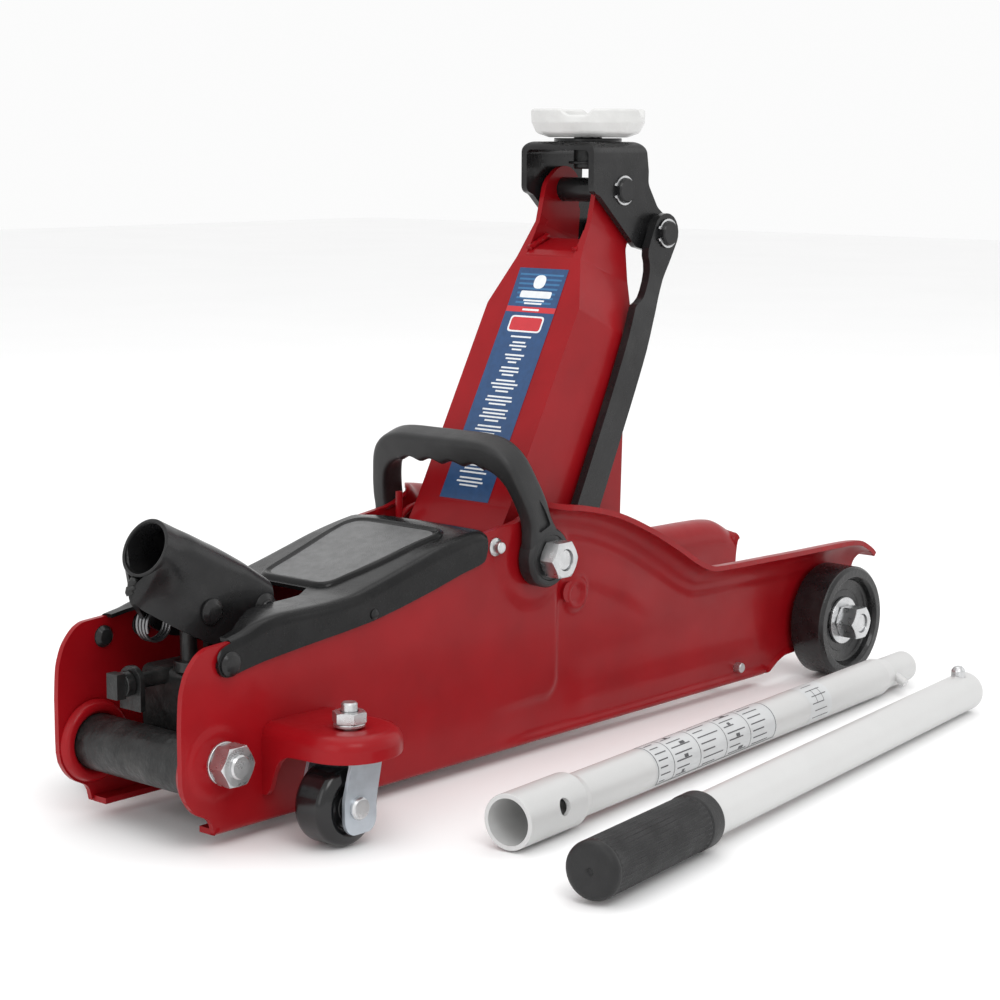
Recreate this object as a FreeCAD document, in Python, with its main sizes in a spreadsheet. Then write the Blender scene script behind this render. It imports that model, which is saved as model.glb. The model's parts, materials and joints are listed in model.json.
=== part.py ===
import FreeCAD, Part
import Sketcher
import math
import os

# Low-profile hydraulic trolley jack, arm raised, two-piece handle lying beside it.
# X runs from the pump end (rear casters) to the big front wheels, Y to the left,
# Z up from the ground.  All lengths are millimetres, angles are degrees.

doc = FreeCAD.newDocument("TrolleyJack")
V = FreeCAD.Vector
ROT = FreeCAD.Rotation
PL = FreeCAD.Placement

# ---------------------------------------------------------------- dimensions
sheet = doc.addObject("Spreadsheet::Sheet", "Dims")
DIMS = [
    # frame
    ("shift_lengthwise", -289.19, "moves the model so the box centre is the origin"),
    ("shift_sideways", 68.5, "the same across the jack"),
    # chassis
    ("plate_thickness", 3.0, "pressed side plate"),
    ("plate_inner", 44.1, "inner face of each side plate from the centre plane"),
    ("flange_reach", 15.0, "outward reach of the flared top flange"),
    ("lip_width", 9.2, "inward bottom lip"),
    ("lip_bottom", 9.2, "underside of the chassis above the ground"),
    ("rear_axle_along", 22.0, "rear tube position"),
    ("rear_axle_height", 42.0, "rear tube height"),
    ("rear_tube_radius", 17.0, "rear tube outside radius"),
    ("stud_radius", 6.0, "M12 studs"),
    ("nut_corner_radius", 10.97, "M12 nut, 19 across flats"),
    ("nut_depth", 10.0, "M12 nut thickness"),
    ("wheel_nut_depth", 13.0, "front wheel nut thickness"),
    # lift linkage
    ("pivot_along", 254.5, "main arm pivot"),
    ("pivot_height", 112.0, "main arm pivot"),
    ("pivot_shaft_radius", 11.0, "main shaft"),
    ("head_along", 356.0, "head pin with the arm raised"),
    ("head_height", 307.2, "head pin with the arm raised"),
    ("link_offset_along", 31.0, "link pivot from arm pivot, both ends"),
    ("link_offset_down", 24.9, "link pivot below arm pivot, both ends"),
    ("head_pin_radius", 7.0, "head and link pins"),
    ("link_thickness", 5.0, "flat link bar"),
    ("arm_half_width", 34.0, "widest part of the arm"),
    ("arm_wall", 3.2, "arm pressing thickness"),
    ("ram_lever", 58.0, "ram pin from the main pivot"),
    ("ram_pin_radius", 7.0, "ram pin"),
    ("arm_tube_radius", 13.2, "tube across the arm around the shaft"),
    ("link_jog", 7.4, "inward set of the link near its top"),
    # head
    ("bracket_wall", 3.9, "head bracket cheek thickness"),
    ("bracket_half_width", 26.7, "head bracket outside"),
    ("bracket_top", 334.6, "top face of the head bracket"),
    ("saddle_radius", 33.0, "saddle rim outside"),
    ("saddle_bottom", 337.0, "saddle underside"),
    ("saddle_top", 353.2, "saddle rim top, the raised height"),
    ("saddle_stem_radius", 8.0, "saddle stem"),
    # front wheels
    ("wheel_along", 536.4, "front axle"),
    ("wheel_radius", 35.0, "front wheel"),
    ("wheel_inner", 48.6, "inner face of the front wheel"),
    ("wheel_width", 24.4, "front wheel"),
    ("axle_radius", 8.0, "front axle"),
    ("running_gap", 0.05, "radial clearance of running fits"),
    # casters
    ("stem_along", 76.3, "caster swivel axis"),
    ("stem_out", 82.2, "caster swivel axis from the centre plane"),
    ("caster_along", 67.1, "caster axle"),
    ("caster_radius", 20.3, "caster wheel"),
    ("caster_half_width", 9.0, "caster tread"),
    ("fork_half_width", 15.0, "caster fork outside"),
    ("fork_wall", 2.0, "caster fork sheet"),
    ("shelf_top", 56.3, "caster bracket top"),
    ("shelf_wall", 3.0, "caster bracket sheet"),
    ("shelf_rim_bottom", 43.5, "lower edge of the caster bracket rim"),
    ("shelf_radius", 26.0, "round end of the caster bracket"),
    # pump
    ("cylinder_radius", 25.0, "hydraulic cylinder"),
    ("cylinder_height", 61.0, "ram axis"),
    ("ram_radius", 10.0, "ram rod"),
    ("plunger_radius", 4.25, "pump plunger"),
    ("plunger_along", 47.0, "pump plunger"),
    ("fulcrum_along", 82.0, "handle socket fulcrum"),
    ("fulcrum_height", 105.0, "handle socket fulcrum"),
    ("pump_pin_radius", 4.0, "fulcrum and roller pins"),
    ("socket_outer", 15.0, "handle socket tube"),
    ("socket_bore", 13.2, "handle socket tube"),
    ("socket_tilt", 27.0, "handle socket above horizontal"),
    ("valve_out", 12.0, "release valve from the centre plane"),
    ("valve_height", 72.5, "release valve"),
    # carry handle
    ("hub_radius", 16.5, "carry handle hub"),
    ("hub_inner", 49.2, "carry handle hub inner face"),
    ("hub_depth", 10.8, "carry handle hub thickness"),
    ("carry_lean", 18.3, "carry handle lean to the rear"),
    # handle
    ("handle_radius", 11.4, "handle tubes"),
    ("handle_bore", 9.9, "handle tubes"),
    ("joint_radius", 14.0, "expanded end of the lower handle"),
    ("joint_bore", 11.65, "expanded end of the lower handle"),
    ("lower_length", 431.0, "lower handle"),
    ("upper_length", 437.0, "upper handle"),
    ("grip_radius", 14.3, "rubber grip"),
    ("grip_length", 103.0, "rubber grip"),
]
D = {}
for i, (alias, value, note) in enumerate(DIMS, start=1):
    sheet.set("A%d" % i, alias)
    sheet.set("B%d" % i, repr(float(value)))
    sheet.set("C%d" % i, note)
    sheet.setAlias("B%d" % i, alias)
    D[alias] = float(value)
doc.recompute()


def val(x):
    """Number behind a cell alias, an expression of aliases, or a plain number."""
    if isinstance(x, str):
        total = 0.0
        for term in x.replace("-", "+-").split("+"):
            term = term.strip()
            if not term:
                continue
            sign = 1.0
            if term.startswith("-"):
                sign, term = -1.0, term[1:].strip()
            total += sign * (D[term] if term in D else float(term))
        return total
    return float(x)


def expr(x):
    parts = []
    for term in x.replace("-", "+-").split("+"):
        term = term.strip()
        if not term:
            continue
        sign = "+"
        if term.startswith("-"):
            sign, term = "-", term[1:].strip()
        parts.append(sign + ("Dims." + term if term in D else term))
    text = "".join(parts)
    return text[1:] if text.startswith("+") else text


def bind(obj, prop, x):
    """Set a property to a number, or bind it to the sheet when given an alias."""
    if isinstance(x, str):
        obj.setExpression(prop, expr(x))
    else:
        setattr(obj, prop, x)


# ------------------------------------------------------------- small helpers
COUNT = [0]


def uid(name):
    COUNT[0] += 1
    return "%s_%03d" % (name, COUNT[0])


AXES = {"+X": ROT(V(0, 1, 0), 90), "-X": ROT(V(0, 1, 0), -90),
        "+Y": ROT(V(1, 0, 0), -90), "-Y": ROT(V(1, 0, 0), 90),
        "+Z": ROT(), "-Z": ROT(V(1, 0, 0), 180)}


def cyl(name, r, h, pos, axis="+Z"):
    o = doc.addObject("Part::Cylinder", uid(name))
    bind(o, "Radius", r)
    bind(o, "Height", h)
    o.Placement = PL(V(*pos), AXES[axis] if isinstance(axis, str) else axis)
    return o


def box(name, lo, hi):
    o = doc.addObject("Part::Box", uid(name))
    o.Length, o.Width, o.Height = [hi[k] - lo[k] for k in range(3)]
    o.Placement = PL(V(*lo), ROT())
    return o


def cut(base, *tools):
    for t in tools:
        o = doc.addObject("Part::Cut", uid("Cut"))
        o.Base, o.Tool = base, t
        base = o
    return base


def fuse(*objs):
    o = doc.addObject("Part::MultiFuse", uid("Fuse"))
    o.Shapes = list(objs)
    o.Refine = True
    return o


def common(a, b):
    o = doc.addObject("Part::Common", uid("Common"))
    o.Base, o.Tool = a, b
    return o


def mirror(obj):
    o = doc.addObject("Part::Mirroring", uid("Mirror"))
    o.Source = obj
    o.Normal = V(0, 1, 0)
    o.Base = V(0, 0, 0)
    return o


def mirror_node(label, near):
    """The far copy of a finished near piece, reflected in the jack's centre plane."""
    o = mirror(near)
    o.Base = V(0, D["shift_sideways"], 0)
    o.setExpression("Base.y", "Dims.shift_sideways")
    node(label, o)
    PLACED.append(o.Name)
    return o


def group(*objs):
    o = doc.addObject("Part::Compound", uid("Group"))
    o.Links = list(objs)
    return o


def origin_plane(body, role):
    for o in body.Origin.OriginFeatures:
        if o.Role == role:
            return o
    raise RuntimeError(role)


def new_body(name):
    return doc.addObject("PartDesign::Body", uid(name))


def sketch_on(body, role, offset=0.0):
    s = body.newObject("Sketcher::SketchObject", uid("Sketch"))
    s.AttachmentSupport = [(origin_plane(body, role), "")]
    s.MapMode = "FlatFace"
    if isinstance(offset, str):
        s.AttachmentOffset = PL(V(0, 0, val(offset)), ROT())
        s.setExpression("AttachmentOffset.Base.z", expr(offset))
    else:
        s.AttachmentOffset = PL(V(0, 0, offset), ROT())
    return s


def outline(s, pts):
    """Closed loop of straight edges; a third number on a point rounds that corner."""
    n = len(pts)
    P = [V(p[0], p[1], 0) for p in pts]
    R = [p[2] if len(p) > 2 else 0.0 for p in pts]
    tin, tout, mid = [], [], []
    for i in range(n):
        a, b, c = P[i - 1], P[i], P[(i + 1) % n]
        u, w = (a - b), (c - b)
        lu, lw = u.Length, w.Length
        u = u * (1.0 / lu)
        w = w * (1.0 / lw)
        r = R[i]
        if r > 0:
            cosang = max(-1.0, min(1.0, u.dot(w)))
            ang = math.acos(cosang)
            d = r / math.tan(ang / 2.0) if ang < math.pi - 1e-4 else 0.0
            lim = 0.49 * min(lu, lw)
            if d > lim:
                d = lim
                r = d * math.tan(ang / 2.0)
            if d > 1e-4:
                bis = (u + w)
                bis = bis * (1.0 / bis.Length)
                centre = b + bis * (r / math.sin(ang / 2.0))
                tin.append(b + u * d)
                tout.append(b + w * d)
                mid.append(centre - bis * r)
                continue
        tin.append(b)
        tout.append(b)
        mid.append(None)
    geo = []
    for i in range(n):
        if mid[i] is not None:
            geo.append(Part.Arc(tin[i], mid[i], tout[i]))
        j = (i + 1) % n
        if (tin[j] - tout[i]).Length > 1e-4:
            geo.append(Part.LineSegment(tout[i], tin[j]))
    s.addGeometry(geo, False)


def circle(s, x, y, r):
    """Circle whose radius is held by a constraint, bound to the sheet for an alias."""
    g = s.addGeometry(Part.Circle(V(val(x), val(y), 0), V(0, 0, 1), val(r)), False)
    s.addConstraint(Sketcher.Constraint("DistanceX", -1, 1, g, 3, val(x)))
    if isinstance(x, str):
        s.setExpression("Constraints[%d]" % (s.ConstraintCount - 1), expr(x))
    s.addConstraint(Sketcher.Constraint("DistanceY", -1, 1, g, 3, val(y)))
    if isinstance(y, str):
        s.setExpression("Constraints[%d]" % (s.ConstraintCount - 1), expr(y))
    s.addConstraint(Sketcher.Constraint("Radius", g, val(r)))
    if isinstance(r, str):
        s.setExpression("Constraints[%d]" % (s.ConstraintCount - 1), expr(r))


def pad(body, s, length, reverse=False, both=False):
    f = body.newObject("PartDesign::Pad", uid("Pad"))
    f.Profile = s
    bind(f, "Length", length)
    f.Reversed = reverse
    if both:
        f.Midplane = True
    return f


def slab(name, role, pts, length, offset=0.0, holes=(), both=False, body=None):
    """A body padded from one outline; holes are circles (x, y, r) in the same sketch.
    On XZ_Plane the pad grows towards -Y and a positive offset moves it that way."""
    b = body or new_body(name)
    s = sketch_on(b, role, offset)
    outline(s, pts)
    for h in holes:
        circle(s, *h)
    pad(b, s, length, both=both)
    return b


def turned(name, pts, pos, axis):
    """A body revolved about its own Z; pts are (radius, height[, corner radius])."""
    b = new_body(name)
    s = sketch_on(b, "XZ_Plane")
    outline(s, pts)
    f = b.newObject("PartDesign::Revolution", uid("Revolution"))
    f.Profile = s
    f.ReferenceAxis = (s, ["V_Axis"])
    f.Angle = 360.0
    b.Placement = PL(V(*pos), AXES[axis] if isinstance(axis, str) else axis)
    return b


def hexnut(name, corner, depth, bore, pos, axis):
    """Hexagon nut with chamfered corners, standing on pos along axis."""
    c, h = val(corner), val(depth)
    p = doc.addObject("Part::Prism", uid(name))
    p.Polygon = 6
    bind(p, "Circumradius", corner)
    bind(p, "Height", depth)
    rot = AXES[axis]
    p.Placement = PL(V(*pos), rot)
    flat = c * math.cos(math.pi / 6)
    barrel = turned(name + "Chamfer", [(0, 0), (flat * 0.97, 0), (c + 0.2, (c - flat) * 0.6),
                                       (c + 0.2, h - (c - flat) * 0.6), (flat * 0.97, h), (0, h)],
                    pos, axis)
    hole = cyl(name + "Bore", bore, val(depth) + 2.0, tuple(V(*pos) - rot.multVec(V(0, 0, 1))), axis)
    return cut(common(p, barrel), hole)


NODES = []
PLACED = []
SHIFT = V(D["shift_lengthwise"], D["shift_sideways"], 0)


def node(label, obj):
    """Name a finished piece; its placement carries it into the jack's own frame."""
    obj.Label = label
    NODES.append(obj)
    return obj


XP, ZP = D["pivot_along"], D["pivot_height"]
XH, ZH = D["head_along"], D["head_height"]
LX, LZ = D["link_offset_along"], D["link_offset_down"]
ARM_LEN = math.hypot(XH - XP, ZH - ZP)
ARM_DEG = math.degrees(math.atan2(ZH - ZP, XH - XP))
PI_, PT = D["plate_inner"], D["plate_thickness"]
PO = PI_ + PT
GAP = D["running_gap"]

# --------------------------------------------------------------- side plates
FLANGE = [(257.5, 141.6), (271.4, 139.3), (293.3, 135.1), (311.2, 130.1), (338.9, 118.8),
          (367.7, 104.1), (382.5, 95.7), (392.5, 90.8), (403.6, 87.2), (448.8, 85.9),
          (491.9, 84.9), (546.3, 83.9), (560.4, 82.7), (571.0, 77.9), (581.6, 70.8)]
WEB = [(-2.5, 35), (-2.5, 65), (-1.3, 77.4), (2.6, 87.7), (6.4, 92.3), (11.4, 96.3),
       (17.1, 97.4), (24, 97.6), (40, 99.2), (51, 103.6), (71, 105.2), (91.5, 105.2), (112, 106.6),
       (134, 111.2), (156, 116.9), (179, 122.8), (202, 127.2), (214, 128.7), (226.5, 130.5),
       (244.9, 132.8), (252.5, 137.5)]
WEB_FRONT = [(573.5, 64.5), (575.0, 50.0), (573.0, 30.0), (564.0, 18.0), (548, 15.9), (509.2, 15.9), (500.3, 15.5),
             (492.7, 12.9), (484.0, 9.2), (20.5, 9.2), (18.5, 13.5), (14.9, 16.3), (6.8, 20.3), (0.0, 28.0)]


def side_plate(side):
    t = D["plate_thickness"]
    b = new_body("SidePlate")
    # web: outline with its bores, one sheet thick
    s = sketch_on(b, "XZ_Plane", "plate_inner" if side < 0 else "-plate_inner-plate_thickness")
    pts = [(x, z, 6.0) for x, z in WEB]
    pts += [(x, z - 0.4 * t, 8.0) for x, z in FLANGE[:13]]
    pts += [(573.0, 73.0)]
    pts += [(x, z, 5.0) for x, z in WEB_FRONT]
    outline(s, pts)
    circle(s, "rear_axle_along", "rear_axle_height", 6.2)
    circle(s, "pivot_along", "pivot_height", 6.2)
    circle(s, "wheel_along", "wheel_radius", "axle_radius+0.02")
    circle(s, XP + LX, ZP - LZ, 6.0)
    circle(s, 448.3, 16.6, 3.02)
    if side > 0:
        circle(s, 41.7, 88.9, 3.6)
    pad(b, s, "plate_thickness")
    # flared flange, following the top edge
    upper = [(x, z) for x, z in FLANGE]
    lower = [(x + 0.2, z - t) for x, z in reversed(FLANGE)]
    lower[0] = (FLANGE[-1][0] - 2.2, FLANGE[-1][1] - t * 0.8)
    s2 = sketch_on(b, "XZ_Plane", "plate_inner" if side < 0 else "-plate_inner-plate_thickness-flange_reach")
    outline(s2, [(x, z, 6.0) for x, z in upper] + [(x, z, 6.0) for x, z in lower])
    pad(b, s2, "plate_thickness+flange_reach")
    # inward lip along the bottom
    s3 = sketch_on(b, "XZ_Plane", "plate_inner-lip_width" if side < 0 else "-plate_inner-plate_thickness")
    zb = D["lip_bottom"]
    outline(s3, [(21.0, zb), (480.0, zb), (480.0, zb + t), (21.0, zb + t)])
    pad(b, s3, "lip_width+plate_thickness")
    return b


node("side_plate_near", side_plate(-1))
node("side_plate_far", side_plate(+1))

# ------------------------------------------------------- rear tube and fasteners
xr, zr = D["rear_axle_along"], D["rear_axle_height"]
rt = D["rear_tube_radius"]
tube = turned("RearTube", [(6.5, -PI_ + 0.05), (rt + 1.8, -PI_ + 0.05, 0.8), (rt + 1.8, -PI_ + 5, 1), (rt, -PI_ + 6.5, 1),
                           (rt, PI_ - 6.5, 1), (rt + 1.8, PI_ - 5, 1), (rt + 1.8, PI_ - 0.05, 0.8), (6.5, PI_ - 0.05)],
              (xr, 0, zr), "-Y")
node("rear_axle_tube", tube)
node("rear_axle_bolt", turned("RearBolt", [(0, -61.0), (5.2, -61.0), (6, -60.2), (6, 60.2), (5.2, 61.0), (0, 61.0)],
                              (xr, 0, zr), "-Y"))


def washer(name, r_in, r_out, depth, pos, axis):
    return turned(name, [(r_in, 0), (r_out, 0, 0.4), (r_out, depth, 0.6), (r_in, depth)], pos, axis)


nut = hexnut("RearNut", "nut_corner_radius", "nut_depth", 6.02, (xr, -PO - 2.2, zr), "-Y")
ring = washer("RearWasher", 6.3, 11.9, 2.1, (xr, -PO - 0.05, zr), "-Y")
pair = fuse(nut, ring)
node("rear_axle_nuts", group(pair, mirror(pair)))

# --------------------------------------------------------------------- cover
TOP = [(31.0, 101.4), (40.1, 102.7), (51.2, 106.8), (71.1, 108.4), (91.5, 108.4), (112.5, 109.8),
       (134.1, 114.4), (156.3, 120.1), (179, 126.0), (202.4, 130.4), (212.0, 131.4)]
SKIRT = [(214.6, 121.2), (212.8, 113.8), (194.6, 110.4), (171.4, 104.6), (148.8, 99.6), (127.5, 95.5),
         (105.3, 92.9), (77.6, 90.2), (50.9, 87.2), (37.8, 85), (27.0, 83.0), (22.2, 88.0), (23.4, 95.5)]
ct = 2.3
top_band = TOP + [(212.2, 131.4 - ct)] + [(x + 0.4, z - ct) for x, z in reversed(TOP[:-1])]
cover_top = slab("CoverTop", "XZ_Plane", top_band, 2 * (PO + 2.4), both=True)
skirt = slab("CoverSkirt", "XZ_Plane", [(x, z - 1.1) for x, z in TOP[1:-1]] + [(211.0, 129.6)] + SKIRT,
             2.0, PO + 0.4, holes=[(29.5, 89.6, 2.6), (127.5, 98.8, 1.9)])
notch = slab("CoverNotch", "XY_Plane", [(20, -40), (44, -36), (60, -27), (102, -23), (112, -19), (112, 19),
                                        (102, 23), (60, 27), (44, 36), (20, 40)], 60.0, 80.0)
node("top_cover", fuse(cut(cover_top, notch), skirt, mirror(skirt)))

rivet = turned("CoverRivet", [(0, 0), (6.1, 0), (6.1, 0.9, 0.5), (4.6, 2.2, 1.2), (0, 2.9)], (29.5, -PO - 2.45, 89.6), "-Y")
shank = cyl("RivetShank", 2.5, 5.4, (29.5, -PO - 2.5, 89.6), "+Y")
riv = fuse(rivet, shank)
hole = cyl("PlateHole", 2.55, 12, (29.5, -50, 89.6), "+Y")
node("cover_rivets", group(riv, mirror(riv)))
scr = fuse(turned("SideScrew", [(0, 0), (2.7, 0), (2.7, 0.6, 0.4), (1.4, 1.5, 0.5), (0, 1.7)], (127.5, -PO - 2.45, 98.8), "-Y"),
           cyl("SideScrewShank", 1.8, 4.0, (127.5, -PO - 2.5, 98.8), "+Y"))
node("cover_side_screws", group(scr, mirror(scr)))
fs = fuse(turned("FrontScrew", [(0, 0), (5.0, 0), (5.0, 0.8, 0.3), (3.2, 1.4), (3.2, 5.2, 0.8), (0, 5.2)], (222.5, -PO - 0.05, 120.7), "-Y"),
          cyl("FrontScrewShank", 2.9, 6.2, (222.5, -PO - 0.1, 120.7), "+Y"))
node("cover_front_screws", group(fs, mirror(fs)))

# the plates carry the bores for those screws
for p in list(NODES[:2]):
    s = sketch_on(p, "XZ_Plane", 0.0)
    for x, z, r in ((29.5, 89.6, 2.55), (127.5, 98.8, 1.85), (222.5, 120.7, 2.95)):
        circle(s, x, z, r)
    f = p.newObject("PartDesign::Pocket", uid("Pocket"))
    f.Profile = s
    f.Type = 1
    f.Midplane = True

# -------------------------------------------------------------- main shaft, pins
rs = D["pivot_shaft_radius"]
node("main_pivot_shaft", turned("MainShaft", [(0, -69.0), (5.2, -69.0), (6, -68.2), (6, -PI_ + 0.1), (rs, -PI_ + 0.1, 0.6),
                                              (rs, PI_ - 0.1, 0.6), (6, PI_ - 0.1), (6, 68.2), (5.2, 69.0), (0, 69.0)],
                                (XP, 0, ZP), "-Y"))
hub_in, hub_d = D["hub_inner"], D["hub_depth"]
nut = hexnut("PivotNut", "nut_corner_radius", "nut_depth", 6.02, (XP, -hub_in - hub_d - 0.15, ZP), "-Y")
sleeve = cut(cyl("PivotSpacer", 8.0, hub_in + hub_d + 0.2 - PO, (XP, -PO - 0.03, ZP), "-Y"),
             cyl("PivotSpacerBore", 6.02, 20, (XP, -PO + 2, ZP), "-Y"))
collar = washer("PivotCollar", 6.1, 13.2, 1.55, (XP, -PO - 0.04, ZP), "-Y")
pair = fuse(nut, sleeve, collar)
node("main_pivot_nuts", group(pair, mirror(pair)))

xl, zl = XP + LX, ZP - LZ
link_out = 41.6
pinl = turned("LinkPivot", [(0, -35.2), (5.95, -35.2, 0.5), (5.95, -PO - 0.6), (0, -PO - 0.6)], (xl, 0, zl), "+Y")
node("link_pivot_pins", group(pinl, mirror(pinl)))

# ---------------------------------------------------------------- front axle
xw, rw = D["wheel_along"], D["wheel_radius"]
ra = D["axle_radius"]
node("front_axle", turned("FrontAxle", [(0, -79.4), (5.3, -79.4), (6, -78.7), (6, -65.3), (ra, -65.3, 0.3), (ra, 65.3, 0.3),
                                        (6, 65.3), (6, 78.7), (5.3, 79.4), (0, 79.4)], (xw, 0, rw), "-Y"))
w = washer("FrontWasher", 6.3, 15.0, 2.0, (xw, -65.4, rw), "-Y")
node("front_axle_washers", group(w, mirror(w)))
nut = hexnut("FrontNut", "nut_corner_radius", "wheel_nut_depth", 6.02, (xw, -67.5, rw), "-Y")
node("front_axle_nuts", group(nut, mirror(nut)))
node("front_tie_rod", turned("TieRod", [(0, -51.2), (2.6, -51.2), (3.0, -50.8), (3.0, 50.8), (2.6, 51.2), (0, 51.2)],
                             (448.3, 0, 16.6), "-Y"))

# ------------------------------------------------------------ hydraulic unit
xf, zf = D["fulcrum_along"], D["fulcrum_height"]
xpl = D["plunger_along"]
zc = D["cylinder_height"]
blk = slab("PumpBlock", "XZ_Plane", [(41.0, 24, 4), (83.9, 24, 4), (83.9, 76, 2), (40.5, 76, 4), (40.2, 55, 1), (41.0, 40, 1)], 56.0, both=True)
ear_pts = [(68, 75), (83.9, 75), (83.9, 87), (91, 96, 6), (91, 113, 8), (73, 113, 8), (68, 98, 6)]
ear = slab("PumpEar", "XZ_Plane", ear_pts, 4.5, 8.5, holes=[("fulcrum_along", "fulcrum_height", "pump_pin_radius")])
valve_bore = cyl("ValveBore", 4.1, 22, (34, D["valve_out"], D["valve_height"]), "+X")
plunger_bore = cyl("PlungerBore", "plunger_radius+running_gap", 62, (xpl, 0, 44.5), "+Z")
axle_relief = cyl("AxleRelief", rt + 2.2, 100, (xr, -50, zr), "+Y")
node("pump_block", cut(fuse(blk, ear, mirror(ear)), valve_bore, plunger_bore, axle_relief))
gland = turned("Gland", [(4.3, 0), (7.6, 0, 0.4), (7.6, 5.4, 0.8), (4.3, 5.4)], (xpl, 0, 76.05), "+Z")
node("plunger_gland", gland)
rc, rr = D["cylinder_radius"], D["ram_radius"]
node("ram_cylinder", turned("RamCylinder", [(0, 84.0), (rc, 84.0, 1.5), (rc, 176, 0.8), (rc - 3, 179, 0.8), (rc - 3, 186, 0.8),
                                            (rc - 6, 190, 1.5), (rr + GAP, 190), (rr + GAP, 89), (0, 89)],
                            (0, 0, zc), "+X"))
node("oil_filler_plug", turned("FillerPlug", [(0, 0), (4.5, 0), (4.5, 1.5), (6, 1.5), (6, 3.6, 0.7), (0, 3.6)], (150, 0, zc + rc + 0.02), "+Z"))
node("socket_fulcrum_pin", turned("Fulcrum", [(0, -21), (3.3, -21), (4.0 - 0.05, -20.3), (4.0 - 0.05, 20.3), (3.3, 21), (0, 21)],
                                  (xf, 0, zf), "-Y"))

vy, vz = D["valve_out"], D["valve_height"]
strap = slab("ValveStrap", "YZ_Plane", [(vy - 8, 56), (vy + 8, 56), (vy + 8, vz + 8.5, 7.9), (vy - 8, vz + 8.5, 7.9)], 3.2, 19.2,
             holes=[("valve_out", "valve_height", 4.1)])
node("release_valve_bracket", cut(strap, cyl("StrapFoot", rt, 60, (xr, -20, zr), "+Y")))

# ----------------------------------------------------------- release valve
vb = turned("ValveBody", [(0, 5.2), (6.4, 5.2, 0.6), (6.4, 10.0, 0.8), (4.0, 10.9), (4.0, 40), (0, 44)], (vx := 8.0, vy, vz), "+X")
tang = box("ValveTang", (8.0, vy - 4.0, vz - 6.3), (13.4, vy + 4.0, vz + 6.3))
node("release_valve", fuse(vb, tang))

# ------------------------------------------------------------- caster brackets
xs, ys = D["stem_along"], D["stem_out"]
st, srb, sw, srad = D["shelf_top"], D["shelf_rim_bottom"], D["shelf_wall"], D["shelf_radius"]


def shelf_plan(grow):
    r = srad + grow
    n = 14
    pts = [(xs - r + 1.0, -PO - 0.05), (xs - r, -ys)]
    for k in range(1, n):
        a = math.pi + math.pi * k / n
        pts.append((xs + r * math.cos(a), -ys + r * math.sin(a)))
    pts += [(xs + r, -ys), (xs + r - 0.5, -PO - 0.05)]
    return pts


def caster_bracket():
    outer = slab("Shelf", "XY_Plane", shelf_plan(0.0), "shelf_top-shelf_rim_bottom", "shelf_rim_bottom")
    inner = slab("ShelfHollow", "XY_Plane", [(x, y if abs(y) > PO + 1 else -PO + 2) for x, y in shelf_plan(-sw)],
                 st - srb - sw + 1.0, srb - 1.0)
    wall = slab("ShelfWing", "YZ_Plane", [(-PO - 0.05, 21, 0), (-PO - 5, 21, 3), (-PO - 8, 33, 8), (-62, 43.4, 6), (-ys + 4, 45.5), (-ys + 4, 52),
                                          (-PO - 0.05, 52)], 3.0, xs - srad + 0.2)
    foot = slab("ShelfFoot", "XZ_Plane", [(xs - srad + 0.2, 21, 3), (xs - srad + 7, 21, 3), (xs - srad + 9, 40, 6), (xs + srad - 2, 46, 4),
                                          (xs + srad - 2, 55), (xs - srad + 0.2, 55)], 2.6, PO + 0.05)
    return cut(fuse(cut(outer, inner), wall, foot), cyl("StemHole", 4.1, 30, (xs, -ys, 40), "+Z"))


cbn = node("caster_bracket_near", caster_bracket())
mirror_node("caster_bracket_far", cbn)
bolt = turned("StemBolt", [(0, 46.3), (6.2, 46.3, 0.6), (6.2, 49.2), (4.0, 49.2), (4.0, 67.4), (3.3, 68.2), (0, 68.2)], (xs, -ys, 0), "+Z")
node("caster_stem_bolts", group(bolt, mirror(bolt)))
nut = fuse(hexnut("StemNut", 7.6, 5.6, 4.02, (xs, -ys, st + 1.9), "+Z"),
           washer("StemWasher", 4.1, 6.9, 1.85, (xs, -ys, st + 0.03), "+Z"))
node("caster_stem_nuts", group(nut, mirror(nut)))

# ------------------------------------------------------------------ lift arm
A0 = math.radians(ARM_DEG)
US, UN = (math.cos(A0), math.sin(A0)), (-math.sin(A0), math.cos(A0))
SIDE = [(241.5, 125.2, 2), (249.2, 137.2, 3), (307.8, 243.1, 10), (321.5, 269.6, 8), (334.0, 289.3, 4), (340.0, 312.0, 14), (356.0, 323.5, 14),
        (372.0, 313.0, 14), (368.0, 296.0, 6), (351.5, 275.5, 10), (348.5, 171.0, 20), (347.0, 121.7, 10), (345.0, 103.0, 8), (318.0, 62.0, 8),
        (297.0, 50.5, 6), (281.0, 52.5, 8), (266.0, 68.0, 10), (244.0, 96.0, 10), (236.5, 112.0, 6)]
PLAN = [(-60, 34.0), (5.6, 21.7), (19.8, 34.0), (140.8, 34.0), (170.6, 23.5), (193.7, 20.4), (240, 20.4)]


def arm_plan(shrink, lo=-90.0):
    h = [(lo, 34.0 - shrink), (19.8, 34.0 - shrink), (140.8 + shrink * 0.2, 34.0 - shrink), (170.6 + shrink * 0.2, 23.4 - shrink),
         (193.7, 20.4 - shrink), (245, 20.4 - shrink)]
    return h + [(s, -y) for s, y in reversed(h)]


def arm_block(name, pts, shrink, depth=160.0):
    """Side outline carried across the arm, trimmed to the tapering plan."""
    a = slab(name, "XZ_Plane", pts, 90.0, both=True)
    b = new_body(name + "Plan")
    s = sketch_on(b, "XY_Plane")
    outline(s, [(x, y, 6.0) for x, y in arm_plan(shrink)])
    pad(b, s, depth, both=True)
    b.Placement = PL(V(XP, 0, ZP), ROT(V(0, 1, 0), -ARM_DEG))
    return common(a, b)


aw = D["arm_wall"]
outer = arm_block("ArmOuter", SIDE, 0.0, 260.0)


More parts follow.
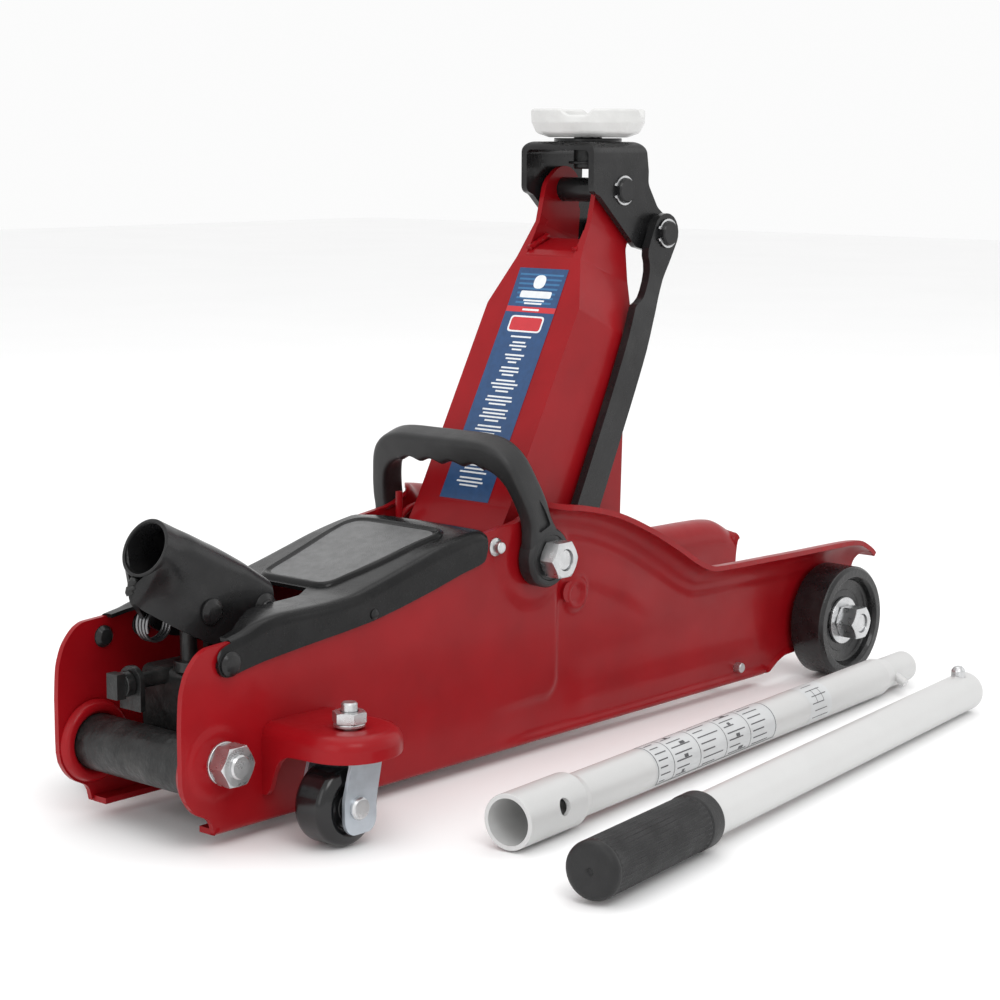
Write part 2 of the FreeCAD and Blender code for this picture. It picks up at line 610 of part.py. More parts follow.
def rearshift(x, z, d):
    """Move a point from the rear face towards the front edge, square to the arm."""
    return (x - UN[0] * d, z - UN[1] * d)


in_rear = [rearshift(x, z, aw + (0.4 if i else 0)) for i, (x, z) in enumerate([(236.0, 113.5), (249.2, 137.2), (307.8, 243.1), (321.5, 269.6)])]
HOLLOW = in_rear + [(334.0, 292.0), (320.0, 330.0), (390, 335), (390, 40), (225, 40), (225, 113)]
inner = arm_block("ArmInner", HOLLOW, aw, 300.0)
mouth = None
shaft_hole = cyl("ArmShaftHole", "pivot_shaft_radius+running_gap", 90, (XP, -45, ZP), "+Y")
head_hole = cyl("ArmHeadHole", "head_pin_radius+running_gap", 90, (XH, -45, ZH), "+Y")
lev = math.radians(-50.0)
xrp, zrp = XP + D["ram_lever"] * math.cos(lev), ZP + D["ram_lever"] * math.sin(lev)
rp_hole = cyl("ArmRamHole", "ram_pin_radius", 90, (xrp, -45, zrp), "+Y")
arm = cut(cut(outer, inner), shaft_hole, head_hole, rp_hole)
node("lift_arm", arm)
wi = D["arm_half_width"] - aw
node("arm_pivot_tube", turned("ArmTube", [(rs + GAP, -wi + 0.02), (D["arm_tube_radius"], -wi + 0.02), (D["arm_tube_radius"], wi - 0.02), (rs + GAP, wi - 0.02)],
                              (XP, 0, ZP), "-Y"))
node("ram_pin", turned("RamPin", [(0, -34.2), (6.4, -34.2), (6.97, -33.6), (6.97, 33.6), (6.4, 34.2), (0, 34.2)], (xrp, 0, zrp), "-Y"))


def torsion_spring(name, radius, wire, turns, y0, pitch, cx, cz, start, tail):
    """Close-wound torsion spring on a Y axis with one straight tail."""
    steps = 24
    pts = []
    n = int(turns * steps)
    for k in range(n + 1):
        a = math.radians(start) - 2 * math.pi * k / steps
        pts.append(V(cx + radius * math.cos(a), y0 + pitch * k / steps, cz + radius * math.sin(a)))
    c = Part.BSplineCurve()
    c.interpolate(pts)
    edges = [c.toShape()]
    tang = c.tangent(c.LastParameter)[0]
    end = pts[-1]
    if tail > 0:
        edges.append(Part.LineSegment(end, end + tang * tail).toShape())
    path = Part.Wire(edges)
    t0 = c.tangent(c.FirstParameter)[0]
    prof = Part.Wire([Part.Circle(pts[0], t0, wire / 2.0).toShape()])
    return path.makePipeShell([prof], True, True)


spring = doc.addObject("Part::Feature", uid("ArmSpring"))
spring.Shape = torsion_spring("ArmSpring", 18.2, 4.0, 1.25, -42.0, 4.2, XP, ZP, 262.0, 28.0)
spr_far = mirror(spring)
node("arm_return_springs", group(spring, spr_far))

# ----------------------------------------------------------------- head bracket
xt, zt = XH + LX, ZH - LZ
bw, bh, bt = D["bracket_wall"], D["bracket_half_width"], D["bracket_top"]
CHEEK = [(328.5, bt, 5), (376.5, bt, 8), (379.2, 318, 6), (379.0, 310.5, 8), (388.0, 297.0, 8), (xt + 11.5, 290, 8), (xt + 11.5, 277, 9),
         (xt + 1, 270.3, 10), (368.0, 274.6, 6), (334.5, 304.3, 6), (328.5, 306.5, 5)]
u_out = slab("BracketSide", "XZ_Plane", CHEEK, 2 * bh, both=True)
u_prof = slab("BracketU", "YZ_Plane", [(-bh, 260), (bh, 260), (bh, bt, 6.5), (-bh, bt, 6.5)], 90.0, 315.0)
u_in = slab("BracketHollow", "YZ_Plane", [(-bh + bw, 250), (bh - bw, 250), (bh - bw, bt - 4.6, 3.0), (-bh + bw, bt - 4.6, 3.0)], 110.0, 305.0)
bracket = cut(common(u_out, u_prof), u_in,
              cyl("BracketPinHole", "head_pin_radius", 90, (XH, -45, ZH), "+Y"),
              cyl("BracketLinkHole", "head_pin_radius", 90, (xt, -45, zt), "+Y"),
              cyl("BracketStemHole", "saddle_stem_radius+running_gap", 30, (XH, 0, 320), "+Z"))
node("head_bracket", bracket)
node("head_pin", turned("HeadPin", [(0, -30.0), (6.2, -30.0), (6.97, -29.2), (6.97, 29.2), (6.2, 30.0), (0, 30.0)], (XH, 0, ZH), "-Y"))
lk_in = bh + 2.6                       # link inner face at the head
lt = D["link_thickness"]
node("link_top_pin", turned("LinkTopPin", [(0, -38.0), (6.2, -38.0), (6.97, -37.2), (6.97, -lk_in + 0.3), (9.5, -lk_in + 0.3), (9.5, -bh - 0.05),
                                           (6.97, -bh - 0.05), (6.97, bh + 0.05), (9.5, bh + 0.05), (9.5, lk_in - 0.3), (6.97, lk_in - 0.3),
                                           (6.97, 37.2), (6.2, 38.0), (0, 38.0)], (xt, 0, zt), "-Y"))


def circlip(name, x, y, z):
    """External retaining ring, open to the rear, with two eyes."""
    b = new_body(name)
    s = sketch_on(b, "XZ_Plane", -y)
    n = 18
    pts = []
    for k in range(n + 1):
        a = math.radians(-150 + 300.0 * k / n)
        pts.append((x + 8.5 * math.cos(a), z + 8.5 * math.sin(a)))
    e = math.radians(150)
    pts += [(x + 9.6 * math.cos(e + .04), z + 9.6 * math.sin(e + .04)), (x + 9.8 * math.cos(e + .22), z + 9.8 * math.sin(e + .22)),
            (x + 7.05 * math.cos(e + .2), z + 7.05 * math.sin(e + .2))]
    for k in range(n + 1):
        a = math.radians(150 - 300.0 * k / n)
        pts.append((x + 7.05 * math.cos(a), z + 7.05 * math.sin(a)))
    pts += [(x + 7.05 * math.cos(-e - .2), z + 7.05 * math.sin(-e - .2)), (x + 9.8 * math.cos(-e - .22), z + 9.8 * math.sin(-e - .22)),
            (x + 9.6 * math.cos(-e - .04), z + 9.6 * math.sin(-e - .04))]
    outline(s, pts)
    pad(b, s, 1.0)
    return b


ca = circlip("Circlip", XH, -bh - 0.15, ZH)
cb = circlip("Circlip", xt, -lk_in - lt - 0.6, zt)
node("circlips", group(ca, cb, mirror(ca), mirror(cb)))
node("saddle_washer", turned("SaddleWasher", [(8.3, 0), (19.5, 0), (19.5, 1.9, 0.5), (8.3, 1.9)], (XH, 0, bt + 0.05), "+Z"))

# --------------------------------------------------------------------- saddle
sr, sb, stp = D["saddle_radius"], D["saddle_bottom"], D["saddle_top"]
ss = D["saddle_stem_radius"]
bowl = turned("Saddle", [(0, 319.0), (ss - 0.8, 319.0), (ss, 319.8), (ss, sb), (24.5, sb, 3.0), (30.6, sb + 3.2, 5.0), (sr - 0.2, stp - 8, 3.0), (sr, stp, 1.2),
                         (sr - 4.0, stp, 1.2), (sr - 5.2, stp - 6.5, 2.0), (16.0, stp - 8.2, 1.0), (14.5, stp - 10.0), (0, stp - 10.0)],
              (XH, 0, 0), "+Z")
cuts = []
for k in range(4):
    a = 45.0 + 90.0 * k
    b = slab("SaddleNotch", "YZ_Plane", [(-9.5, stp - 3.4, 2.5), (9.5, stp - 3.4, 2.5), (13.5, stp + 3), (-13.5, stp + 3)], 30.0, 15.0)
    b.Placement = PL(V(XH, 0, 0), ROT(V(0, 0, 1), a - 18.0))
    cuts.append(b)
node("saddle", cut(bowl, *cuts))
node("saddle_stem_clip", turned("StemClip", [(ss + 0.02, 0), (11.0, 0, 0.3), (11.0, 1.4, 0.3), (ss + 0.02, 1.4)], (XH, 0, 322.0), "+Z"))

# ---------------------------------------------------------------------- links
LL = ARM_LEN


def link():
    """Flat bar with round eyes and a jog that brings its top end inwards."""
    b = new_body("Link")
    jog = D["link_jog"]
    s = sketch_on(b, "XZ_Plane", 0.0)
    yo = link_out
    y2 = lk_in + lt
    # side view of the jogged bar: along x = length, depth measured as sketch y
    outline(s, [(-14, -yo), (178, -yo, 12), (193, -y2, 12), (LL + 14, -y2), (LL + 14, -y2 + lt), (193, -y2 + lt, 12), (178, -yo + lt, 12), (-14, -yo + lt)])
    pad(b, s, 40.0, both=True)
    b.Placement = PL(V(0, 0, 0), ROT(V(1, 0, 0), -90))
    p = new_body("LinkPlan")
    s2 = sketch_on(p, "XZ_Plane", 0.0)
    outline(s2, [(-12.5, -12.5, 12.4), (12, -12.5, 12), (30, -10, 10), (LL - 25, -9.5, 10), (LL - 10, -11, 11), (LL + 11.5, -11.5, 11.4), (LL + 11.5, 11.5, 11.4),
                 (LL - 10, 11, 11), (LL - 25, 9.5, 10), (30, 10, 10), (12, 12.5, 12), (-12.5, 12.5, 12.4)])
    circle(s2, 0.0, 0.0, 6.0)
    circle(s2, LL, 0.0, "head_pin_radius+0.15")
    pad(p, s2, 120.0, both=True)
    c = common(b, p)
    c.Placement = PL(V(xl, 0, zl), ROT(V(0, 1, 0), -ARM_DEG))
    return c


ln = link()
node("lift_link_near", ln)
mirror_node("lift_link_far", ln)

# ------------------------------------------------------------------------ ram
xface = xrp - D["ram_pin_radius"] - 1.8
node("ram_rod", turned("RamRod", [(0, 166.0), (rr - 0.8, 166.0), (rr, 166.8), (rr, xface - 14.0), (0, xface - 14.0)], (0, 0, zc), "+X"))
node("ram_pusher", slab("RamPusher", "XZ_Plane", [(xface - 13.9, 45.5, 3), (xface, 45.5, 2), (xface, 76.5, 2), (xface - 13.9, 76.5, 3)], 28.0, both=True))

# -------------------------------------------------------------- handle socket
tilt = D["socket_tilt"]
mx, mz = 20.0, 141.0
so, sbr = D["socket_outer"], D["socket_bore"]
dirv = V(math.cos(math.radians(tilt)), 0, -math.sin(math.radians(tilt)))
rot_s = ROT(V(0, 0, 1), dirv)
tube_len = 50.0
s_tube = turned("SocketTube", [(sbr, 0.0), (so, 0.0, 0.4), (so, tube_len), (sbr, tube_len)], (mx, 0, mz), rot_s)
CH = [(22.0, 126.0, 2), (24.0, 113.5, 4), (33.5, 99.0, 5), (44.0, 92.5, 5), (60, 91.0, 6), (88, 95.0, 8), (95.5, 104.0, 8), (91, 117.0, 7), (62.0, 134.0, 8), (30.0, 148.0, 3)]
cheek = slab("SocketCheek", "XZ_Plane", CH, 3.0, 14.6, holes=[("fulcrum_along", "fulcrum_height", "pump_pin_radius+0.02"),
                                                              (47.0, 107.8, 4.0)])
roof = slab("SocketRoof", "XZ_Plane", [(60.0, 136.2, 0), (92.5, 118.2, 4), (91.0, 115.4, 2), (60.0, 132.4, 0)], 29.4, both=True)
bore_cut = turned("SocketBoreCut", [(0, -5), (sbr, -5), (sbr, tube_len + 0.5), (0, tube_len + 0.5)], (mx, 0, mz), rot_s)
node("handle_socket", cut(fuse(s_tube, cheek, mirror(cheek), roof), bore_cut, cyl("PlungerPinRelief", 4.0, 30.0, (47.0, -15.0, 107.8), "+Y")))
node("plunger_pin", turned("PlungerPin", [(0, -19.2), (5.6, -19.2, 0.8), (5.6, -17.8), (3.95, -17.8), (3.95, 17.8), (5.6, 17.8), (5.6, 19.2, 0.8), (0, 19.2)],
                           (xpl, 0, 107.8), "-Y"))
ts = doc.addObject("Part::Feature", uid("SocketSpring"))
ts.Shape = torsion_spring("SocketSpring", 8.0, 1.7, 3.2, 5.6, 2.4, 33.4, 100.0, 200.0, 0.0)
node("socket_return_spring", ts)
node("pump_plunger", turned("Plunger", [(0, 50.0), (D["plunger_radius"], 50.0), (D["plunger_radius"], 103.0, 0.6), (0, 103.0)], (xpl, 0, 0), "+Z"))

# --------------------------------------------------------------- front wheels
wi0, ww = D["wheel_inner"], D["wheel_width"]


def front_wheel():
    return turned("FrontWheel", [(ra + GAP, 0.0), (13, 0.0, 1), (14.5, 4.5, 2), (26.0, 6.0, 2), (28.5, 0.6, 1), (33.4, 0.0, 1.0), (rw, 1.8, 1.6), (rw, ww - 1.9, 1.6),
                                 (33.2, ww, 1.0), (28.6, ww, 1.0), (27.2, ww - 2.2, 1.5), (26.4, 18.2, 2.0), (20.0, 17.2, 1.0), (19.4, 16.7, 0.6), (ra + GAP, 16.7)],
                  (xw, -wi0, rw), "-Y")


fw = front_wheel()
node("front_wheel_near", fw)
mirror_node("front_wheel_far", fw)

# -------------------------------------------------------------------- casters
xc, rcw, hw = D["caster_along"], D["caster_radius"], D["caster_half_width"]
fh, ft = D["fork_half_width"], D["fork_wall"]


def fork():
    leg_pts = [(60.0, 50.2, 3), (88.5, 50.2, 3), (84.9, 40.5, 6), (80.1, 22.0, 10), (xc + 13, 7.3, 12.6), (xc - 13, 7.3, 12.6), (53.9, 25, 10), (60.0, 42.0, 8)]
    leg = slab("ForkLeg", "XZ_Plane", leg_pts, "fork_wall", ys + fh - ft, holes=[("caster_along", "caster_radius", 4.0)])
    leg2 = slab("ForkLeg", "XZ_Plane", leg_pts, "fork_wall", ys - fh, holes=[("caster_along", "caster_radius", 4.0)])
    top = slab("ForkTop", "XY_Plane", [(59.9, -ys - fh + 0.2, 4), (88.5, -ys - fh + 0.2, 4), (92.5, -ys - 8, 6), (92.5, -ys + 8, 6), (88.5, -ys + fh - 0.2, 4), (59.9, -ys + fh - 0.2, 4)],
               2.0, 49.3)
    race = turned("ForkRace", [(4.3, 0), (13.5, 0, 0.6), (13.0, 1.9, 0.8), (4.3, 1.9)], (xs, -ys, 51.25), "+Z")
    return cut(fuse(leg, leg2, top, race), cyl("ForkStemHole", 4.0 + GAP, 20, (xs, -ys, 44), "+Z"), cyl("ForkStemPocket", 6.5, 6.0, (xs, -ys, 43.3), "+Z"))


fk_n = fork()
node("caster_fork_near", fk_n)
mirror_node("caster_fork_far", fk_n)
cw = turned("CasterWheel", [(4.0 + GAP, -12.4), (7.5, -12.4, 0.6), (7.5, -8.6, 1.0), (12.0, -6.6, 2.0), (15.2, -hw, 1.2), (17.6, -hw, 1.5), (rcw, -hw + 3.6, 4.5), (rcw, hw - 3.6, 4.5),
                            (17.6, hw, 1.5), (15.2, hw, 1.2), (12.0, 6.6, 2.0), (7.5, 8.6, 1.0), (7.5, 12.4, 0.6), (4.0 + GAP, 12.4)],
            (xc, -ys, rcw), "-Y")
node("caster_wheel_near", cw)
mirror_node("caster_wheel_far", cw)
cax = turned("CasterAxle", [(0, -fh - 2.6), (4.9, -fh - 2.6, 0.9), (5.7, -fh - 1.4, 0.5), (5.7, -fh - 0.05), (3.98, -fh - 0.05), (3.98, fh + 0.05), (5.7, fh + 0.05), (5.7, fh + 1.4, 0.5),
                            (4.9, fh + 2.6, 0.9), (0, fh + 2.6)], (xc, -ys, rcw), "-Y")
node("caster_axle_near", cax)
mirror_node("caster_axle_far", cax)

# --------------------------------------------------------------- carry handle
lean = D["carry_lean"]
hr = D["hub_radius"]


def carry_handle():
    """Bail: two hubs on the main shaft, legs leaning in to a straight grip bar.
    Built upright about the shaft axis, then leaned to the rear."""
    hub = cyl("CarryHub", "hub_radius", "hub_depth", (0, -hub_in, 0), "-Y")
    # front view of one leg and half the bar: sketch x is Y, sketch y is height
    leg = slab("CarryLeg", "YZ_Plane", [(-hub_in - 0.3, -4), (-hub_in - hub_d, -4), (-hub_in - hub_d, 20, 10), (-56.6, 46, 14), (-55.6, 60, 13), (-41.5, 68.8, 10), (0.5, 68.8),
                                        (0.5, 52.8), (-38, 52.2, 6), (-hub_in - 0.4, 44, 8), (-hub_in - 0.4, 16, 10)], 18.0, both=True)
    side = slab("CarrySide", "XZ_Plane", [(-15.5, -2, 2), (15.5, -2, 2), (12.5, 12, 8), (7.6, 26, 10), (7.8, 69, 3), (-8.4, 69, 3), (-8.4, 28, 12), (-13.0, 14, 8)], 130.0, both=True)
    half = fuse(hub, common(leg, side))
    whole = fuse(half, mirror(half))
    bore = cyl("CarryBore", 8.0 + GAP, 130, (0, -65, 0), "+Y")
    w = cut(whole, bore)
    w.Placement = PL(V(XP, 0, ZP), ROT(V(0, 1, 0), -lean))
    return w


node("carry_handle", carry_handle())

# ------------------------------------------------------- two-piece pump handle


def lay(p0, p1):
    """Rotation that lays a tube's own Z along p0 to p1."""
    d = V(*p1) - V(*p0)
    return ROT(V(0, 0, 1), d)


hrad, hb = D["handle_radius"], D["handle_bore"]
jr, jb = D["joint_radius"], D["joint_bore"]
Ll, Lu = D["lower_length"], D["upper_length"]
la, lb = (111.9, -152.7, 14.42), (541.3, -108.1, 11.09)
ua, ub = (75.6, -231.7, 15.45), (508.7, -171.5, 11.44)
rot_l = lay(la, lb)
rot_u = lay(ua, ub)
ltube = turned("LowerTube", [(jb, 0), (jr, 0, 0.5), (jr, 49.0, 2), (hrad, 56.0, 2), (hrad, Ll - 42, 4), (9.4, Ll - 30, 4), (9.4, Ll, 0.4), (7.9, Ll, 0.4), (7.9, Ll - 30, 3),
                             (hb, Ll - 42, 3), (hb, 56.0, 2), (jb, 49.0, 2)], la, rot_l)
across = rot_l.multVec(V(0, 0, 1))
side_dir = V(across.y, -across.x, 0)
side_dir.normalize()
chole = cyl("ButtonHole", 4.4, 30.0, tuple(V(*la) + across * 29.0), ROT(V(0, 0, 1), side_dir + V(0, 0, 0.25)))
peg = cyl("HandlePeg", 2.6, 9.0, tuple(V(*la) + across * (Ll - 27.0) + side_dir * 7.2), ROT(V(0, 0, 1), side_dir + V(0, 0, -0.55)))
peg_bore = turned("PegTrim", [(0, Ll - 60), (7.9, Ll - 60), (7.9, Ll), (0, Ll)], la, rot_l)
node("handle_lower_tube", cut(fuse(ltube, cut(peg, peg_bore)), chole))
utube = turned("UpperTube", [(hb, 4.0), (hrad, 4.0, 0.4), (hrad, Lu - 1.0, 0.8), (hb, Lu - 1.0, 0.4)], ua, rot_u)
uz = rot_u.multVec(V(0, 0, 1))
bpos = V(*ua) + uz * (Lu - 13.0)
bhole = cyl("UpperButtonHole", 4.2, 20.0, tuple(bpos), "+Z")
node("handle_upper_tube", cut(utube, bhole))
gl = D["grip_length"]
gr = D["grip_radius"]
node("handle_grip", turned("Grip", [(0, 0.0), (gr - 2.4, 0.0, 1.6), (gr - 0.3, 2.2, 1.6), (gr - 0.3, gl - 12, 0.5), (gr, gl - 11, 0.6), (gr, gl - 1.2, 1.0), (gr - 1.2, gl, 0.6), (hrad + 0.02, gl, 0.2),
                                    (hrad + 0.02, 3.9), (0, 3.9)], ua, rot_u))
node("spring_button", turned("Button", [(0, 3.0), (5.4, 3.0), (5.4, 4.2), (4.1, 4.4), (4.1, hrad + 3.2, 2.2), (2.2, hrad + 5.6, 2.0), (0, hrad + 5.8)], tuple(bpos), "+Z"))

# ------------------------------------------------------- bolt on the far plate
fb = turned("FarBolt", [(0, 0), (3.0, 0), (3.0, PT + 0.2), (6.2, PT + 0.2, 0.4), (6.2, PT + 1.6, 0.4), (4.2, PT + 1.7), (4.2, PT + 4.6, 1.6), (0, PT + 5.4)], (54.0, PO, 92.5), "-Y")
node("far_plate_bolt", fb)
fp = doc.getObject(NODES[1].Name)
s = sketch_on(fp, "XZ_Plane", 0.0)
circle(s, 54.0, 92.5, 3.05)
f = fp.newObject("PartDesign::Pocket", uid("Pocket"))
f.Profile = s
f.Type = 1
f.Midplane = True

# ------------------------------------------------------------------- finish
doc.recompute()


def state(label):
    bad = [(o.Name, list(o.State)) for o in doc.Objects if "Invalid" in o.State or "Error" in o.State]
    if bad:
        raise SystemExit("%s: failed objects %s" % (label, bad))


state("model")
shift = PL(SHIFT, ROT())
for o in NODES:
    sh = o.Shape
    if sh.isNull() or not sh.isValid():
        raise SystemExit("bad shape: " + o.Label)
    if o.Name not in PLACED:
        o.Placement = shift.multiply(o.Placement)
doc.recompute()
state("placed model")

os.makedirs("parts", exist_ok=True)
for old in os.listdir("parts"):
    if old.endswith(".step"):
        os.remove(os.path.join("parts", old))
total = FreeCAD.BoundBox()
fine = FreeCAD.BoundBox()
for o in NODES:
    sh = o.Shape
    if sh.isNull() or not sh.isValid() or not sh.Solids:
        raise SystemExit("bad shape: " + o.Label)
    total.add(sh.BoundBox)
    for v in sh.copy().tessellate(0.1)[0]:
        fine.add(v)
    print("%-26s solids %d  volume %9.0f  x %7.1f..%7.1f  y %7.1f..%7.1f  z %6.1f..%6.1f" % (
        o.Label, len(sh.Solids), sh.Volume, sh.BoundBox.XMin, sh.BoundBox.XMax, sh.BoundBox.YMin, sh.BoundBox.YMax,
        sh.BoundBox.ZMin, sh.BoundBox.ZMax))
    sh.exportStep("parts/%s.step" % o.Label)
print("nodes", len(NODES), "box", fine, "centre", fine.Center)
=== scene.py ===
import bpy, bmesh, json, math
import numpy as np
from mathutils import Vector, Matrix, noise as mnoise

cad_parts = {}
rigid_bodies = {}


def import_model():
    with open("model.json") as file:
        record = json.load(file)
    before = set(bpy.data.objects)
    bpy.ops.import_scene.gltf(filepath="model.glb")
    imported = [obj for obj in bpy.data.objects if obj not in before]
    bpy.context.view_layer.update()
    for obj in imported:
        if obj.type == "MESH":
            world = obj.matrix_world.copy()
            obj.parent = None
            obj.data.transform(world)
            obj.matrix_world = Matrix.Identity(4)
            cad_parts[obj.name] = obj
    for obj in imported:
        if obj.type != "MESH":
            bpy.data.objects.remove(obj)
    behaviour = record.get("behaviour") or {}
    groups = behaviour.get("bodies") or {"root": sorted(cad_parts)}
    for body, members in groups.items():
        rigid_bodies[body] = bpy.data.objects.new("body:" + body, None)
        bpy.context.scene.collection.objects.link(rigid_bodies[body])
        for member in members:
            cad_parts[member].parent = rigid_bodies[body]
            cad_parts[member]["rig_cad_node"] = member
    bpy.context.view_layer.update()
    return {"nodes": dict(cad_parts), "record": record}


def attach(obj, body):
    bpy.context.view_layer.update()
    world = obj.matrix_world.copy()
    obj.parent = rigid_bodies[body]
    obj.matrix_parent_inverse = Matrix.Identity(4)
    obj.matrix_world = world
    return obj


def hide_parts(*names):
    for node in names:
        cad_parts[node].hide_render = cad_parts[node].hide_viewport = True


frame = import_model()
NODES = frame["nodes"]
BODY = {n: b for b, ns in frame["record"]["behaviour"]["bodies"].items() for n in ns}
SX, SY = -289.19, 68.5
PI_, PO = 44.1, 47.1


def W(x, y, z):
    """Jack millimetres to the row frame in metres."""
    return Vector(((x + SX) / 1000.0, (y + SY) / 1000.0, z / 1000.0))


# ------------------------------------------------------------------ materials
MATS = {}


def material(name, base, rough=0.4, metal=0.0, coat=0.0, coat_rough=0.08, vary=0.12, vscale=60.0, rvary=0.08, rscale=90.0,
             bump=0.05, bscale=900.0, wave=0.0, wscale=45.0, spec=0.5, scratch=0.0, wear=None, worn_rough=0.35, stretch=None, dust=0.0):
    m = bpy.data.materials.new(name)
    m.use_nodes = True
    t = m.node_tree
    t.nodes.clear()
    out = t.nodes.new("ShaderNodeOutputMaterial")
    p = t.nodes.new("ShaderNodeBsdfPrincipled")
    t.links.new(p.outputs[0], out.inputs[0])
    co = t.nodes.new("ShaderNodeTexCoord")
    src = co.outputs["Object"]
    if stretch:
        mp = t.nodes.new("ShaderNodeMapping")
        mp.inputs["Scale"].default_value = stretch
        t.links.new(src, mp.inputs["Vector"])
        src = mp.outputs[0]

    def tex(scale, detail=4.0, rough_=0.55, vec=None):
        n = t.nodes.new("ShaderNodeTexNoise")
        n.inputs["Scale"].default_value = scale
        n.inputs["Detail"].default_value = detail
        n.inputs["Roughness"].default_value = rough_
        t.links.new(vec or src, n.inputs["Vector"])
        return n.outputs["Fac"]

    def ramp(sock, a, b, lo, hi):
        r = t.nodes.new("ShaderNodeMapRange")
        r.inputs["From Min"].default_value = a
        r.inputs["From Max"].default_value = b
        r.inputs["To Min"].default_value = lo
        r.inputs["To Max"].default_value = hi
        t.links.new(sock, r.inputs["Value"])
        return r.outputs[0]

    def mix(fac, a, b):
        n = t.nodes.new("ShaderNodeMix")
        n.data_type = "RGBA"
        if isinstance(fac, float):
            n.inputs[0].default_value = fac
        else:
            t.links.new(fac, n.inputs[0])
        for sock, v in ((n.inputs[6], a), (n.inputs[7], b)):
            if isinstance(v, tuple):
                sock.default_value = (*v, 1.0) if len(v) == 3 else v
            else:
                t.links.new(v, sock)
        return n.outputs[2]

    dark = tuple(c * (1.0 - vary) for c in base)
    light = tuple(min(1.0, c * (1.0 + vary) + vary * 0.004) for c in base)
    colour = mix(ramp(tex(vscale), 0.3, 0.7, 0.0, 1.0), dark, light)
    rough_v = ramp(tex(rscale, 6.0), 0.3, 0.7, max(0.02, rough - rvary), min(1.0, rough + rvary))
    if dust:
        d = ramp(tex(38.0, 8.0, 0.7), 0.5, 0.8, 0.0, dust)
        colour = mix(d, colour, (0.42, 0.40, 0.38))
    if wear:
        # bright chips along the convex edges, broken up by noise
        g = t.nodes.new("ShaderNodeNewGeometry")
        e = ramp(g.outputs["Pointiness"], 0.53, 0.60, 0.0, 1.0)
        k = ramp(tex(420.0, 5.0, 0.7), 0.52, 0.62, 0.0, 1.0)
        mul = t.nodes.new("ShaderNodeMath")
        mul.operation = "MULTIPLY"
        t.links.new(e, mul.inputs[0])
        t.links.new(k, mul.inputs[1])
        colour = mix(mul.outputs[0], colour, wear)
    t.links.new(colour, p.inputs["Base Color"])
    t.links.new(rough_v, p.inputs["Roughness"])
    p.inputs["Metallic"].default_value = metal
    p.inputs["Coat Weight"].default_value = coat
    p.inputs["Coat Roughness"].default_value = coat_rough
    p.inputs["Specular IOR Level"].default_value = spec
    b = t.nodes.new("ShaderNodeBump")
    b.inputs["Strength"].default_value = bump
    b.inputs["Distance"].default_value = 0.0006
    t.links.new(tex(bscale, 3.0), b.inputs["Height"])
    last = b
    if wave:
        b2 = t.nodes.new("ShaderNodeBump")
        b2.inputs["Strength"].default_value = wave
        b2.inputs["Distance"].default_value = 0.0020
        t.links.new(tex(wscale, 2.0), b2.inputs["Height"])
        t.links.new(b.outputs[0], b2.inputs["Normal"])
        last = b2
    if scratch:
        mp2 = t.nodes.new("ShaderNodeMapping")
        mp2.inputs["Scale"].default_value = (40.0, 40.0, 1400.0)
        mp2.inputs["Rotation"].default_value = (0.5, 0.3, 0.2)
        t.links.new(co.outputs["Object"], mp2.inputs["Vector"])
        b3 = t.nodes.new("ShaderNodeBump")
        b3.inputs["Strength"].default_value = scratch
        b3.inputs["Distance"].default_value = 0.0002
        t.links.new(tex(1.0, 3.0, 0.5, mp2.outputs[0]), b3.inputs["Height"])
        t.links.new(last.outputs[0], b3.inputs["Normal"])
        last = b3
    t.links.new(last.outputs[0], p.inputs["Normal"])
    MATS[name] = m
    return m


RED = material("red_enamel", (0.262, 0.0036, 0.0068), 0.34, coat=0.09, coat_rough=0.08, spec=0.16, vary=0.10, vscale=30, rvary=0.06, bump=0.05, bscale=700, wave=0.10, wscale=38)
BLACK = material("black_enamel", (0.010, 0.010, 0.0105), 0.30, coat=0.12, coat_rough=0.08, spec=0.24, vary=0.25, rvary=0.10, bump=0.12, bscale=600, wave=0.10, dust=0.03)
BLACKROUGH = material("black_coarse", (0.012, 0.0125, 0.0125), 0.42, coat=0.12, coat_rough=0.18, spec=0.30, vary=0.4, vscale=120, rvary=0.15, bump=0.45, bscale=420, wave=0.35, wscale=160, dust=0.09)
COVER = material("cover_enamel", (0.007, 0.007, 0.0073), 0.24, coat=0.05, coat_rough=0.06, spec=0.16, vary=0.2, rvary=0.08, bump=0.10, bscale=650, wave=0.05, dust=0.02)
PANEL = material("cover_panel", (0.105, 0.106, 0.107), 0.42, coat=0.15, coat_rough=0.3, vary=0.2, vscale=260, rvary=0.08, bump=0.55, bscale=1500)
WHITE = material("white_tube", (0.56, 0.56, 0.555), 0.36, coat=0.15, coat_rough=0.2, vary=0.015, rvary=0.02, rscale=30, bump=0.03, bscale=900, wave=0.0)
CAST = material("white_cast", (0.60, 0.60, 0.59), 0.42, coat=0.3, coat_rough=0.25, vary=0.05, vscale=80, rvary=0.1, bump=0.30, bscale=380, wave=0.2, wscale=140)
ZINC = material("zinc", (0.56, 0.565, 0.57), 0.30, metal=0.92, vary=0.08, vscale=150, rvary=0.07, rscale=160, bump=0.08, bscale=1100, wave=0.03, wscale=260, scratch=0.06)
ZINCBLUE = material("zinc_sheet", (0.50, 0.545, 0.59), 0.34, metal=0.85, vary=0.10, vscale=90, rvary=0.10, bump=0.12, bscale=900, scratch=0.2)
CHROME = material("ground_steel", (0.62, 0.62, 0.63), 0.18, metal=1.0, vary=0.06, rvary=0.05, bump=0.06, bscale=1200, scratch=0.3)
